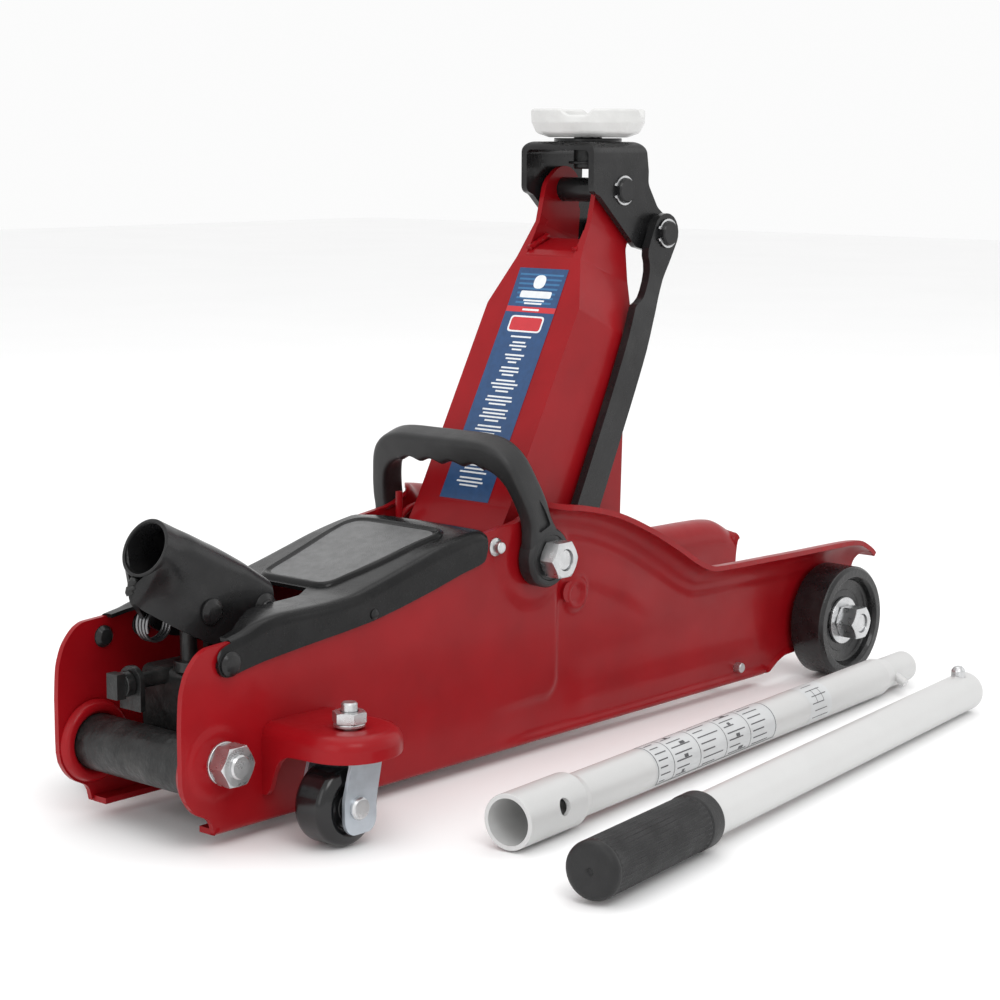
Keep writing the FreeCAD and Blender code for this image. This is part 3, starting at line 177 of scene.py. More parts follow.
PLASTIC = material("black_plastic", (0.015, 0.015, 0.0155), 0.42, spec=0.35, vary=0.15, rvary=0.06, bump=0.30, bscale=1500, coat=0.06, coat_rough=0.35, dust=0.02)
GLOSSBLK = material("wheel_plastic", (0.005, 0.005, 0.0055), 0.22, vary=0.2, rvary=0.10, bump=0.10, bscale=500, spec=0.35, coat=0.25, coat_rough=0.12, wave=0.06, dust=0.02)
RUBBER = material("grip_rubber", (0.014, 0.014, 0.0145), 0.50, spec=0.35, vary=0.2, rvary=0.10, bump=0.35, bscale=900)
LABEL = material("label_blue", (0.012, 0.055, 0.155), 0.42, vary=0.12, vscale=300, rvary=0.05, bump=0.03)
LABELW = material("label_mark", (0.72, 0.74, 0.76), 0.45, vary=0.05, vscale=300, rvary=0.05, bump=0.03)
LABELR = material("label_red", (0.50, 0.02, 0.03), 0.42, vary=0.05, vscale=300, rvary=0.05, bump=0.03)
LABELL = material("label_lightblue", (0.03, 0.14, 0.30), 0.42, vary=0.05, vscale=300, rvary=0.05, bump=0.03)
STICK = material("sticker", (0.56, 0.57, 0.575), 0.40, vary=0.04, rvary=0.05, bump=0.03)
INK = material("sticker_ink", (0.07, 0.07, 0.075), 0.5, vary=0.2, vscale=400, rvary=0.05, bump=0.03)

WHEELBLK = material("wheel_black", (0.009, 0.009, 0.0095), 0.30, vary=0.3, vscale=140, rvary=0.12, bump=0.35, bscale=420, spec=0.35, coat=0.22, coat_rough=0.10, dust=0.03)
DARKSTEEL = material("dark_steel", (0.20, 0.20, 0.205), 0.34, metal=0.92, vary=0.15, rvary=0.08, bump=0.08, bscale=900, scratch=0.08)
NODE_MAT = {}
for n in NODES:
    NODE_MAT[n] = ZINC
for n in ("side_plate_near", "side_plate_far", "lift_arm", "arm_pivot_tube", "arm_return_springs", "caster_bracket_near", "caster_bracket_far"):
    NODE_MAT[n] = RED
for n in ("cover_rivets", "head_bracket", "saddle_washer", "lift_link_near", "lift_link_far", "handle_socket", "link_pivot_pins", "front_tie_rod",
          "head_pin", "link_top_pin", "oil_filler_plug", "plunger_pin", "socket_fulcrum_pin"):
    NODE_MAT[n] = BLACK
for n in ("rear_axle_tube", "pump_block", "ram_cylinder", "release_valve", "release_valve_bracket", "plunger_gland", "ram_pusher", "far_plate_bolt"):
    NODE_MAT[n] = BLACKROUGH
NODE_MAT["top_cover"] = COVER
NODE_MAT["saddle"] = CAST
for n in ("handle_lower_tube", "handle_upper_tube"):
    NODE_MAT[n] = WHITE
for n in ("ram_rod", "pump_plunger", "ram_pin", "socket_return_spring"):
    NODE_MAT[n] = CHROME
for n in ("front_wheel_near", "front_wheel_far", "carry_handle"):
    NODE_MAT[n] = PLASTIC
for n in ("caster_wheel_near", "caster_wheel_far"):
    NODE_MAT[n] = GLOSSBLK
for n in ("caster_fork_near", "caster_fork_far"):
    NODE_MAT[n] = ZINCBLUE
NODE_MAT["handle_grip"] = RUBBER
NODE_MAT["front_tie_rod"] = ZINC
NODE_MAT["front_wheel_near"] = NODE_MAT["front_wheel_far"] = WHEELBLK
NODE_MAT["socket_return_spring"] = DARKSTEEL
NODE_MAT["pump_plunger"] = BLACKROUGH
NODE_MAT["link_pivot_pins"] = RED
NODE_MAT["saddle_stem_clip"] = BLACK
SLOTS = {}
for s in frame["record"]["subparts"]:
    SLOTS[s["node"]] = s["material_slot"]


# -------------------------------------------------------------------- helpers
def link(o):
    bpy.context.scene.collection.objects.link(o)
    return o


def bake(o):
    """Turn an object's modifiers into its mesh."""
    dg = bpy.context.evaluated_depsgraph_get()
    me = bpy.data.meshes.new_from_object(o.evaluated_get(dg), depsgraph=dg)
    o.modifiers.clear()
    old = o.data
    o.data = me
    bpy.data.meshes.remove(old)
    return o


def finish_mesh(o, bevel=0.0, segs=2, angle=32.0, sharp=38.0, dissolve=False):
    """Soft edges and clean shading. Lengths in millimetres."""
    bm = bmesh.new()
    bm.from_mesh(o.data)
    bmesh.ops.remove_doubles(bm, verts=bm.verts, dist=2e-6)
    if dissolve:
        bmesh.ops.dissolve_limit(bm, angle_limit=math.radians(0.6), verts=bm.verts, edges=bm.edges)
        bmesh.ops.dissolve_degenerate(bm, dist=1e-6, edges=bm.edges)
    bmesh.ops.recalc_face_normals(bm, faces=bm.faces)
    bm.to_mesh(o.data)
    bm.free()
    if bevel:
        m = o.modifiers.new("b", "BEVEL")
        m.width = bevel / 1000.0
        m.segments = segs
        m.limit_method = "ANGLE"
        m.angle_limit = math.radians(angle)
        m.miter_outer = "MITER_ARC"
        m.harden_normals = False
        bake(o)
    shade(o, sharp)
    return o


def shade(o, sharp=38.0):
    bm = bmesh.new()
    bm.from_mesh(o.data)
    lim = math.radians(sharp)
    for f in bm.faces:
        f.smooth = True
    for e in bm.edges:
        e.smooth = not (len(e.link_faces) == 2 and e.calc_face_angle(0.0) > lim)
    bm.to_mesh(o.data)
    bm.free()
    m = o.modifiers.new("wn", "WEIGHTED_NORMAL")
    m.keep_sharp = True
    m.weight = 60


def place(o, mat, body, node=None, slot=None):
    o.data.materials.clear()
    o.data.materials.append(mat)
    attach(o, body)
    if node:
        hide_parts(*([node] if isinstance(node, str) else node))
        slot = slot or SLOTS[node if isinstance(node, str) else node[0]]
    return o


def raw(name, verts, faces):
    me = bpy.data.meshes.new(name)
    me.from_pydata([W(*v) for v in verts], [], faces)
    me.update()
    return link(bpy.data.objects.new(name, me))


def rounded(pts, seg=6):
    """Polygon with corner radii given as a third value."""
    out = []
    n = len(pts)
    for i, p in enumerate(pts):
        r = p[2] if len(p) > 2 else 0.0
        c = Vector(p[:2])
        if r <= 0:
            out.append(tuple(c))
            continue
        a, b = Vector(pts[i - 1][:2]) - c, Vector(pts[(i + 1) % n][:2]) - c
        la, lb = a.length, b.length
        a.normalize()
        b.normalize()
        th = math.acos(max(-1.0, min(1.0, a.dot(b))))
        if th < 1e-3 or th > math.pi - 1e-3:
            out.append(tuple(c))
            continue
        d = min(r / math.tan(th / 2), la * 0.49, lb * 0.49)
        for k in range(seg + 1):
            t = k / seg
            q = c + a * d * (1 - t) ** 2 + b * d * t ** 2
            out.append(tuple(q))
    return out


AX = {"x": lambda u, v, w: (w, u, v), "y": lambda u, v, w: (u, w, v), "z": lambda u, v, w: (u, v, w)}


def prism(name, pts, axis, lo, hi, bevel=0.6, segs=2, holes=(), seg=6, sharp=38.0, post=None):
    """Outline carried along an axis. Outline is (y,z), (x,z) or (x,y)."""
    f = AX[axis]
    ring = rounded(pts, seg)
    loops = [ring]
    for hx, hy, hr in holes:
        loops.append([(hx + hr * math.cos(2 * math.pi * k / 32), hy + hr * math.sin(2 * math.pi * k / 32)) for k in range(32)])
    bm = bmesh.new()
    caps = []
    for w in (lo, hi):
        edges = []
        for lp in loops:
            vs = [bm.verts.new(W(*f(u, v, w))) for u, v in lp]
            es = [bm.edges.new((vs[i], vs[(i + 1) % len(vs)])) for i in range(len(vs))]
            edges += es
            caps.append(vs)
        if len(loops) == 1:
            bm.faces.new(caps[-1])
        else:
            bmesh.ops.triangle_fill(bm, use_beauty=True, use_dissolve=True, edges=edges)
    k = len(loops)
    for i in range(k):
        a, b = caps[i], caps[i + k]
        for j in range(len(a)):
            bm.faces.new((a[j], a[(j + 1) % len(a)], b[(j + 1) % len(a)], b[j]))
    me = bpy.data.meshes.new(name)
    bmesh.ops.recalc_face_normals(bm, faces=bm.faces)
    bm.to_mesh(me)
    bm.free()
    o = link(bpy.data.objects.new(name, me))
    if post:
        post(o)
    return finish_mesh(o, bevel, segs, sharp=sharp)


def frame_of(axis):
    d = Vector(axis).normalized()
    a = Vector((0, 0, 1)) if abs(d.z) < 0.9 else Vector((1, 0, 0))
    e1 = a.cross(d).normalized()
    return d, e1, d.cross(e1)


def lathe(name, prof, origin, axis, seg=72, closed=True, sharp=38.0, wob=None):
    """Profile of (radius, along) turned about an axis."""
    d, e1, e2 = frame_of(axis)
    o0 = Vector(origin)
    verts, faces = [], []
    n = len(prof)
    for k in range(seg):
        a = 2 * math.pi * k / seg
        r_ = e1 * math.cos(a) + e2 * math.sin(a)
        for i, (r, s) in enumerate(prof):
            rr = r * (wob(a, s) if wob else 1.0)
            verts.append(tuple(o0 + r_ * rr + d * s))
    for k in range(seg):
        k2 = (k + 1) % seg
        for i in range(n if closed else n - 1):
            j = (i + 1) % n
            faces.append((k * n + i, k * n + j, k2 * n + j, k2 * n + i))
    o = raw(name, verts, faces)
    bm = bmesh.new()
    bm.from_mesh(o.data)
    bmesh.ops.remove_doubles(bm, verts=bm.verts, dist=1e-6)
    bmesh.ops.dissolve_degenerate(bm, dist=1e-7, edges=bm.edges)
    bmesh.ops.recalc_face_normals(bm, faces=bm.faces)
    bm.to_mesh(o.data)
    bm.free()
    shade(o, sharp)
    return o


def fillet(prof, seg=4):
    """Closed (radius, along) profile with radii as third values."""
    return rounded(prof, seg)


def sweep(name, pts, r, seg=14, cap=True):
    """Round wire along points, parallel transported."""
    P = [Vector(p) for p in pts]
    n = len(P)
    T = [(P[min(i + 1, n - 1)] - P[max(i - 1, 0)]).normalized() for i in range(n)]
    _, e1, e2 = frame_of(T[0])
    verts, faces = [], []
    for i in range(n):
        e1 = (e1 - T[i] * e1.dot(T[i])).normalized()
        e2 = T[i].cross(e1)
        for k in range(seg):
            a = 2 * math.pi * k / seg
            verts.append(tuple(P[i] + (e1 * math.cos(a) + e2 * math.sin(a)) * r))
    for i in range(n - 1):
        for k in range(seg):
            k2 = (k + 1) % seg
            faces.append((i * seg + k, i * seg + k2, (i + 1) * seg + k2, (i + 1) * seg + k))
    if cap:
        faces.append(tuple(range(seg))[::-1])
        faces.append(tuple((n - 1) * seg + k for k in range(seg)))
    o = raw(name, verts, faces)
    shade(o, 50)
    return o


def boolean(o, cutters, op="DIFFERENCE"):
    for c in cutters:
        m = o.modifiers.new("bool", "BOOLEAN")
        m.operation = op
        m.solver = "EXACT"
        m.object = c
    bake(o)
    for c in cutters:
        me = c.data
        bpy.data.objects.remove(c)
        bpy.data.meshes.remove(me)
    return o


def refined(node, bevel=0.5, segs=2, angle=32.0, sharp=38.0, mat=None):
    """A new softened piece with the outline of a plain node."""
    src = NODES[node]
    o = link(bpy.data.objects.new(node + "_shaped", src.data.copy()))
    finish_mesh(o, bevel, segs, angle, sharp, dissolve=True)
    return place(o, mat or NODE_MAT[node], BODY[node], node)


def mirrored(o, name, node, body=None, mat=None):
    """The same piece on the other side of the centre plane."""
    me = o.data.copy()
    c = SY / 1000.0
    for v in me.vertices:
        v.co.y = 2 * c - v.co.y
    me.flip_normals()
    q = link(bpy.data.objects.new(name, me))
    shade(q)
    return place(q, mat or o.data.materials[0], body or BODY[node], node)


def lerp_table(tab, x):
    if x <= tab[0][0]:
        return tab[0][1]
    for (a, b), (c, d) in zip(tab, tab[1:]):
        if x <= c:
            return b + (d - b) * (x - a) / (c - a) if c > a else d
    return tab[-1][1]


def smooth_table(tab, x):
    """Monotone-ish cubic through the table."""
    if x <= tab[0][0]:
        return tab[0][1]
    if x >= tab[-1][0]:
        return tab[-1][1]
    n = len(tab)
    for i in range(n - 1):
        if x <= tab[i + 1][0]:
            break
    x0, y0 = tab[i]
    x1, y1 = tab[i + 1]
    h = x1 - x0
    s = (y1 - y0) / h

    def slope(k):
        if k <= 0 or k >= n - 1:
            return s
        a = (tab[k][1] - tab[k - 1][1]) / max(1e-6, tab[k][0] - tab[k - 1][0])
        b = (tab[k + 1][1] - tab[k][1]) / max(1e-6, tab[k + 1][0] - tab[k][0])
        return 0.0 if a * b <= 0 else 2 * a * b / (a + b)
    m0, m1 = slope(i), slope(i + 1)
    t = (x - x0) / h
    return (2 * t**3 - 3 * t**2 + 1) * y0 + (t**3 - 2 * t**2 + t) * h * m0 + (-2 * t**3 + 3 * t**2) * y1 + (t**3 - t**2) * h * m1


def sstep(a, b, x):
    t = max(0.0, min(1.0, (x - a) / (b - a)))
    return t * t * (3 - 2 * t)


# ---------------------------------------------------------------- side plates
TOPT = [(-2.5, 62.0), (-2.2, 68.0), (-1.3, 77.4), (0.4, 83.0), (2.6, 87.7), (6.4, 92.3), (11.4, 96.3), (17.1, 98.4), (24, 98.9), (40, 100.0), (51, 103.6), (71, 105.2),
        (91.5, 105.2), (112, 106.6), (134, 111.2), (156, 116.9), (179, 122.8), (202, 127.2), (214, 128.7), (226.5, 130.3), (238, 131.8), (246, 134.4), (252, 138.4),
        (258, 140.6), (271.4, 139.3), (293.3, 135.1), (311.2, 130.1), (338.9, 118.8), (367.7, 104.1), (382.5, 95.7), (392.5, 90.8), (403.6, 87.4), (425, 86.4),
        (448.8, 85.9), (491.9, 84.9), (546.3, 83.9), (560.4, 82.7), (571.0, 78.3), (575.0, 75.8), (578.2, 73.2)]
BOTT = [(-2.5, 42.0), (-2.3, 35.0), (-1.2, 30.0), (0.5, 26.8), (3.0, 23.4), (6.8, 20.0), (10.8, 17.8), (14.9, 16.2), (17.4, 14.6), (18.9, 12.0), (20.3, 6.9), (30.0, 6.3), (470.0, 6.3),
        (484.0, 7.6), (492.7, 12.9), (500.3, 15.5), (509.2, 15.9), (548, 15.9), (557, 16.8), (564.0, 20.0), (569.0, 26.0), (572.2, 36.0), (573.4, 50.0), (574.4, 60.0), (575.4, 66.0),
        (576.6, 68.8), (578.2, 69.4)]


def rear_shift(x):
    return x + 2.7 * (1.0 - (x + 2.5) / 22.8) if x < 20.3 else x


TOPT = [(rear_shift(a), b) for a, b in TOPT]
BOTT = [(rear_shift(a), b) for a, b in BOTT]


def emboss(x, z):
    """Outward relief of the pressed web, in millimetres."""
    # the pressed field round the pivot stands out from the web ahead of it and below it
    dx, dz = 275.4 - x, z - 30.5
    q = 11.0
    inside = q - math.hypot(q - dx, q - dz) if dx < q and dz < q else min(dx, dz)
    d = -1.5 * (1.0 - sstep(-2.6, 2.0, inside)) * sstep(214.0, 262.0, x) * (1.0 - sstep(505.0, 548.0, x))
    # soft crease along the lower front
    d += 1.5 * (1.0 - sstep(30.0, 52.0, z)) * sstep(282.0, 300.0, x) * (1.0 - sstep(470.0, 520.0, x)) * sstep(10.0, 24.0, z)
    # boss round the main pivot, and the round one ahead of it
    r = math.hypot(x - 254.5, z - 112.0)
    d += (1.55 - d) * (1.0 - sstep(24.0, 31.0, r))
    r2 = math.hypot(x - 292.0, z - 85.2)
    d += (0.9 - d) * (1.0 - sstep(8.2, 11.0, r2)) * (1.0 - 0.55 * (1.0 - sstep(4.5, 6.5, r2)))
    # raised sweep running forward from the pivot under the flange
    k = (1.0 - sstep(4.0, 15.0, abs(z - (lerp_table(TOPT, x) - 34.0)))) * sstep(282, 300, x) * (1.0 - sstep(335, 372, x))
    d += 0.9 * k
    # pressed seat round the rear bolt
    d += 0.9 * (1.0 - sstep(15.0, 19.0, math.hypot(x - 22.0, z - 42.0)))
    return d


def side_plate(side, name, node):
    xs_ = [-2.5, -2.45, -2.3, -2.0, -1.6, -1.2, -0.6, 0.2, 1.2, 2.4, 3.8, 5.4, 7.2, 9.2, 11.4, 13.6, 15.6, 17.0, 18.0, 18.9, 19.6, 20.3]
    xs_ = [rear_shift(v) for v in xs_]
    x = 21.4
    while x < 560.0:
        xs_.append(x)
        x += 1.6 if 236 < x < 312 else 2.6
    xs_ += [560.0, 561.6, 563.2, 564.8, 566.4, 568.0, 569.4, 570.6, 571.6, 572.6, 573.6, 574.4, 575.2, 576.0, 576.8, 577.6, 578.2]
    NW, NF = 62, 12
    t = 3.0
    bm = bmesh.new()
    grid = []
    lip = []
    for x in xs_:
        zt, zb = smooth_table(TOPT, x), lerp_table(BOTT, x)
        th = math.radians(90.0) * sstep(246.0, 270.0, x)
        has_lip = 21.0 < x < 480.5
        zb_ = 9.3 if has_lip else zb
        ze = zt - t * math.sin(th)
        R = 13.0
        Rz = min(R, max(0.2, ze - zb_ - 0.4))
        z0 = ze - Rz * math.sin(th)
        col = []
        for k in range(NW + 1):
            u = k / NW
            z = zb_ + (z0 - zb_) * u
            y = PO + emboss(x, z) * sstep(0.0, 4.0, z - zb_) * sstep(-1.0, 6.0, z0 - z + 5 * (1 - math.sin(th)))
            col.append((x, y, z))
        ytop = col[-1][1]
        for k in range(1, NF + 1):
            a = th * k / NF
            col.append((x, ytop + (PO - ytop) * k / NF + R * (1 - math.cos(a)), z0 + Rz * math.sin(a) + (0.02 * k if th < 1e-3 else 0)))
        w = sstep(252.0, 268.0, x)
        ext = (2.0 - 7.0 * sstep(576.5, 583.5, x) ** 2) * w
        if w > 0:
            col.append((x, PO + R * (1 - math.cos(th)) + ext, ze - 0.15 * w))
        else:
            col.append((x, col[-1][1], col[-1][2] + 0.02))
        grid.append([bm.verts.new(W(px, side * py, pz)) for px, py, pz in col])
        if has_lip:
            L = [(PO - 12.2, 6.3), (PO - 9.0, 6.3), (PO - 6.0, 6.3), (PO - 3.0, 6.3)]
            L += [(PO - 3.0 + 3.0 * math.sin(math.radians(a)), 9.3 - 3.0 * math.cos(math.radians(a))) for a in (18, 36, 54, 72)]
            lip.append([bm.verts.new(W(x, side * py, pz)) for py, pz in L] + [grid[-1][0]])
    for A, B in zip(grid, grid[1:]):
        for k in range(len(A) - 1):
            bm.faces.new((A[k], A[k + 1], B[k + 1], B[k]))
    for A, B in zip(lip, lip[1:]):
        for k in range(len(A) - 1):
            bm.faces.new((A[k], A[k + 1], B[k + 1], B[k]))
    bmesh.ops.remove_doubles(bm, verts=bm.verts, dist=2e-6)
    bmesh.ops.dissolve_degenerate(bm, dist=1e-6, edges=bm.edges)
    bmesh.ops.recalc_face_normals(bm, faces=bm.faces)
    # normals point outward, away from the centre plane
    s = sum(f.normal.y * side * f.calc_area() for f in bm.faces)
    if s < 0:
        bmesh.ops.reverse_faces(bm, faces=bm.faces)
    me = bpy.data.meshes.new(name)
    bm.to_mesh(me)
    bm.free()
    o = link(bpy.data.objects.new(name, me))
    m = o.modifiers.new("s", "SOLIDIFY")
    m.thickness = t / 1000.0
    m.offset = -1.0
    m.use_even_offset = False
    bake(o)
    m = o.modifiers.new("b", "BEVEL")
    m.width = 0.0007
    m.segments = 2
    m.limit_method = "ANGLE"
    m.angle_limit = math.radians(50)
    bake(o)
    shade(o, 60)
    return place(o, RED, "chassis", node)


sp = side_plate(-1, "plate_near_pressed", "side_plate_near")
sp2 = side_plate(1, "plate_far_pressed", "side_plate_far")
for s_, nm in ((-1, "near"), (1, "far")):
    o = lathe("rear_seat_ring_" + nm, fillet([(14.2, -0.3), (21.5, -0.3, 1.0), (19.6, 4.4, 3.2), (15.8, 4.6, 2.2), (14.2, 2.6, 1)], 5), (22.0, s_ * PI_, 37.6), (0, -s_, 0))
    place(o, RED, "chassis", slot="red_paint")

prof = [(6.5, -PI_ + 0.05), (14.2, -PI_ + 0.05)] + [(14.2 + 0.10 * math.sin(k * 2.3), -PI_ + 1.0 + k * 2.0) for k in range(44)] + [(14.2, PI_ - 0.05), (6.5, PI_ - 0.05)]
o = lathe("rear_tube_round", prof, (22.0, 0.0, 37.6), (0, 1, 0))
place(o, BLACKROUGH, "chassis", "rear_axle_tube")
# tail of the rear cover rivet inside each plate
for s_, nm in ((-1, "near"), (1, "far")):
    o = lathe("rivet_tail_" + nm, fillet([(0.0, -0.2), (5.6, -0.2), (5.6, 0.8, 0.4), (3.8, 3.0, 1.6), (0.0, 3.7)], 5), (29.5, s_ * PI_, 89.6), (0, -s_, 0))
    place(o, BLACK, "chassis", slot="black_paint")

# ------------------------------------------------------------------ top cover
TOPC = [(22.0, 93.0), (22.6, 95.6), (24.6, 98.2), (27.8, 99.9), (31.0, 100.8), (40.1, 102.7), (51.2, 106.3), (62.0, 108.0), (71.1, 108.5), (91.5, 108.6), (112.5, 109.8), (134.1, 114.4), (156.3, 120.1),
        (179, 126.0), (202.4, 130.4), (209.0, 131.2), (212.0, 131.0), (214.4, 129.6)]
SKC = [(22.0, 89.0), (23.0, 86.2), (25.0, 84.0), (28.0, 83.1), (33, 83.9), (37.8, 85), (50.9, 87.2), (77.6, 90.2), (105.3, 92.9), (127.5, 95.5), (148.8, 99.6), (171.4, 104.6), (194.6, 110.4),
       (208.0, 113.0), (212.4, 114.6), (214.4, 121.0)]
NOTCH = [(20, 41.0), (40, 39.0), (52, 32.5), (62, 27.5), (100, 23.5), (112, 16.5)]


def top_cover():
    bm = bmesh.new()
    xs_ = [22.0, 22.5, 23.2, 24.2, 25.6, 27.4, 29.4, 31.6, 34.0, 37.0, 40.0]
    x = 42.5
    while x < 111.0:
        xs_.append(x)
        x += 2.5
    xs_ += [112.0]
    x = 114.5
    while x < 209.0:
        xs_.append(x)
        x += 2.5
    xs_ += [210.0, 211.4, 212.8, 213.8, 214.4]
    HW, R = PO + 2.4, 5.5
    cols, mids = [], []
    for x in xs_:
        zt, zs = smooth_table(TOPC, x), lerp_table(SKC, x)
        crown = 0.9 * sstep(30, 60, x)
        hn = lerp_table(NOTCH, x) if x <= 112.0 else 16.5
        r = min(R, max(0.4, (zt - zs) * 0.6))
        half = []
        for k in range(9):
            half.append((HW, zs + (zt - r - zs) * k / 8))
        for k in range(1, 7):
            a = math.radians(90 * k / 6)
            half.append((HW - r + r * math.cos(a), zt - r + r * math.sin(a)))
        y1 = HW - r
        for k in range(1, 11):
            y = y1 + (hn - y1) * k / 10
            half.append((y, zt + crown * (1 - (y / y1) ** 2) * 0.6))
        cols.append((x, half))
        mids.append([(y, zt + crown * (1 - (y / y1) ** 2) * 0.6) for y in np.linspace(hn, -hn, 9)[1:-1]])
    rings = []
    for (x, half), mid in zip(cols, mids):
        L = [bm.verts.new(W(x, -y, z)) for y, z in half]
        droop = 1.5 * sstep(34, 60, x)
        Rr = [bm.verts.new(W(x, y, z - droop * sstep(18.0, 48.0, y))) for y, z in half]
        M = [bm.verts.new(W(x, -y, z)) for y, z in mid] if x >= 112.0 else None
        rings.append((L, Rr, M, x))
    for a, b in zip(rings, rings[1:]):
        for q in (0, 1):
            A, B = a[q], b[q]
            lim = len(A) - 1 if a[3] >= 31.0 else 11
            for k in range(lim):
                bm.faces.new((A[k], A[k + 1], B[k + 1], B[k]))
        if a[2] is not None:
            A = [a[0][-1]] + a[2] + [a[1][-1]]
            B = [b[0][-1]] + b[2] + [b[1][-1]]
            for k in range(len(A) - 1):
                bm.faces.new((A[k], A[k + 1], B[k + 1], B[k]))
    bmesh.ops.remove_doubles(bm, verts=bm.verts, dist=2e-6)
    for v in [v for v in bm.verts if not v.link_faces]:
        bm.verts.remove(v)
    bmesh.ops.recalc_face_normals(bm, faces=bm.faces)
    if sum(f.normal.z * f.calc_area() for f in bm.faces) < 0:
        bmesh.ops.reverse_faces(bm, faces=bm.faces)
    me = bpy.data.meshes.new("cover_pressed")
    bm.to_mesh(me)
    bm.free()
    o = link(bpy.data.objects.new("cover_pressed", me))
    m = o.modifiers.new("s", "SOLIDIFY")
    m.thickness = 0.0020
    m.offset = -1.0
    bake(o)
    m = o.modifiers.new("b", "BEVEL")
    m.width = 0.0006
    m.segments = 2
    m.limit_method = "ANGLE"
    m.angle_limit = math.radians(50)
    bake(o)
    shade(o, 55)
    return place(o, COVER, "chassis", "top_cover")


top_cover()


def cover_z(x, y):
    zt = smooth_table(TOPC, x)
    return zt + 0.9 * sstep(30, 60, x) * (1 - (y / 44.0) ** 2) * 0.6 - 1.5 * sstep(34, 60, x) * (sstep(18.0, 48.0, y) if y > 18.0 else 0.0)


def quad_loop(x0, h0, x1, h1, r, grow=0.0):
    pts = [(x0 - grow, -h0 - grow, r), (x1 + grow, -h1 - grow, r), (x1 + grow, h1 + grow, r), (x0 - grow, h0 + grow, r)]
    ring = rounded(pts, 8)
    out = []
    for i in range(len(ring)):
        a, b = Vector(ring[i]), Vector(ring[(i + 1) % len(ring)])
        n = max(1, int((b - a).length / 3.0))
        out += [tuple(a + (b - a) * k / n) for k in range(n)]
    return out


def raised_panel():
    """Pressed panel: rings following the cover from the rim inwards."""
    prof = [(4.6, -0.6), (4.2, 0.4), (3.3, 1.5), (2.2, 2.0), (1.2, 1.9), (0.4, 1.3), (-0.6, 0.9), (-1.6, 0.8)]
    verts, faces = [], []
    base = quad_loop(119.0, 23.0, 196.0, 33.5, 9.0)
    c = Vector((158.0, 0.0))
    n = len(base)
    rings = []
    for off, h in prof:
        ring = []
        for q in base:
            v = Vector(q)
            d = (v - c).normalized()
            w = v + d * off
            ring.append((w.x, w.y, cover_z(w.x, w.y) + h))
        rings.append(ring)
    inner = [(q[0], q[1]) for q in rings[-1]]
    for ring in rings:
        verts += ring
    for i in range(len(rings) - 1):
        for k in range(n):
            k2 = (k + 1) % n
            faces.append((i * n + k, i * n + k2, (i + 1) * n + k2, (i + 1) * n + k))
    o = raw("cover_panel_rim", verts, faces)
    bm = bmesh.new()
    bm.from_mesh(o.data)
    bmesh.ops.recalc_face_normals(bm, faces=bm.faces)
    if sum(f.normal.z for f in bm.faces) < 0:
        bmesh.ops.reverse_faces(bm, faces=bm.faces)
    bm.to_mesh(o.data)
    bm.free()
    shade(o, 60)
    place(o, COVER, "chassis", slot="black_paint")
    # inner field
    verts, faces = [], []
    steps = 8
    for s in range(steps + 1):
        f = 1.0 - s / steps
        for x, y in inner:
            px, py = c.x + (x - c.x) * f, c.y + (y - c.y) * f
            verts.append((px, py, cover_z(px, py) + 0.8 + 0.25 * (1 - f)))
    for i in range(steps - 1):
        for k in range(n):
            k2 = (k + 1) % n
            faces.append((i * n + k, i * n + k2, (i + 1) * n + k2, (i + 1) * n + k))
    faces.append(tuple((steps - 1) * n + k for k in range(n)))
    verts = verts[: steps * n]
    o = raw("cover_panel_field", verts, faces)
    bm = bmesh.new()
    bm.from_mesh(o.data)
    bmesh.ops.recalc_face_normals(bm, faces=bm.faces)
    if sum(f.normal.z for f in bm.faces) < 0:
        bmesh.ops.reverse_faces(bm, faces=bm.faces)
    bm.to_mesh(o.data)
    bm.free()
    shade(o, 60)
    place(o, PANEL, "chassis", slot="black_paint")


raised_panel()

# ------------------------------------------------------------- caster brackets
XS_, YS_ = 76.3, 82.2


def plan_pts(grow, y_in=-PO - 0.05, n=26):
    r = 26.0 + grow
    pts = []
    m = 12
    for k in range(m):
        t = k / m
        pts.append((XS_ - r + 1.0 - 1.0 * t, y_in + (-YS_ - y_in) * t))
    for k in range(n + 1):
        a = math.pi + math.pi * k / n
        pts.append((XS_ + r * math.cos(a), -YS_ + r * math.sin(a)))
    for k in range(1, m + 1):
        t = k / m
        pts.append((XS_ + r - 0.5 * t, -YS_ + (y_in + YS_) * t))
    return pts


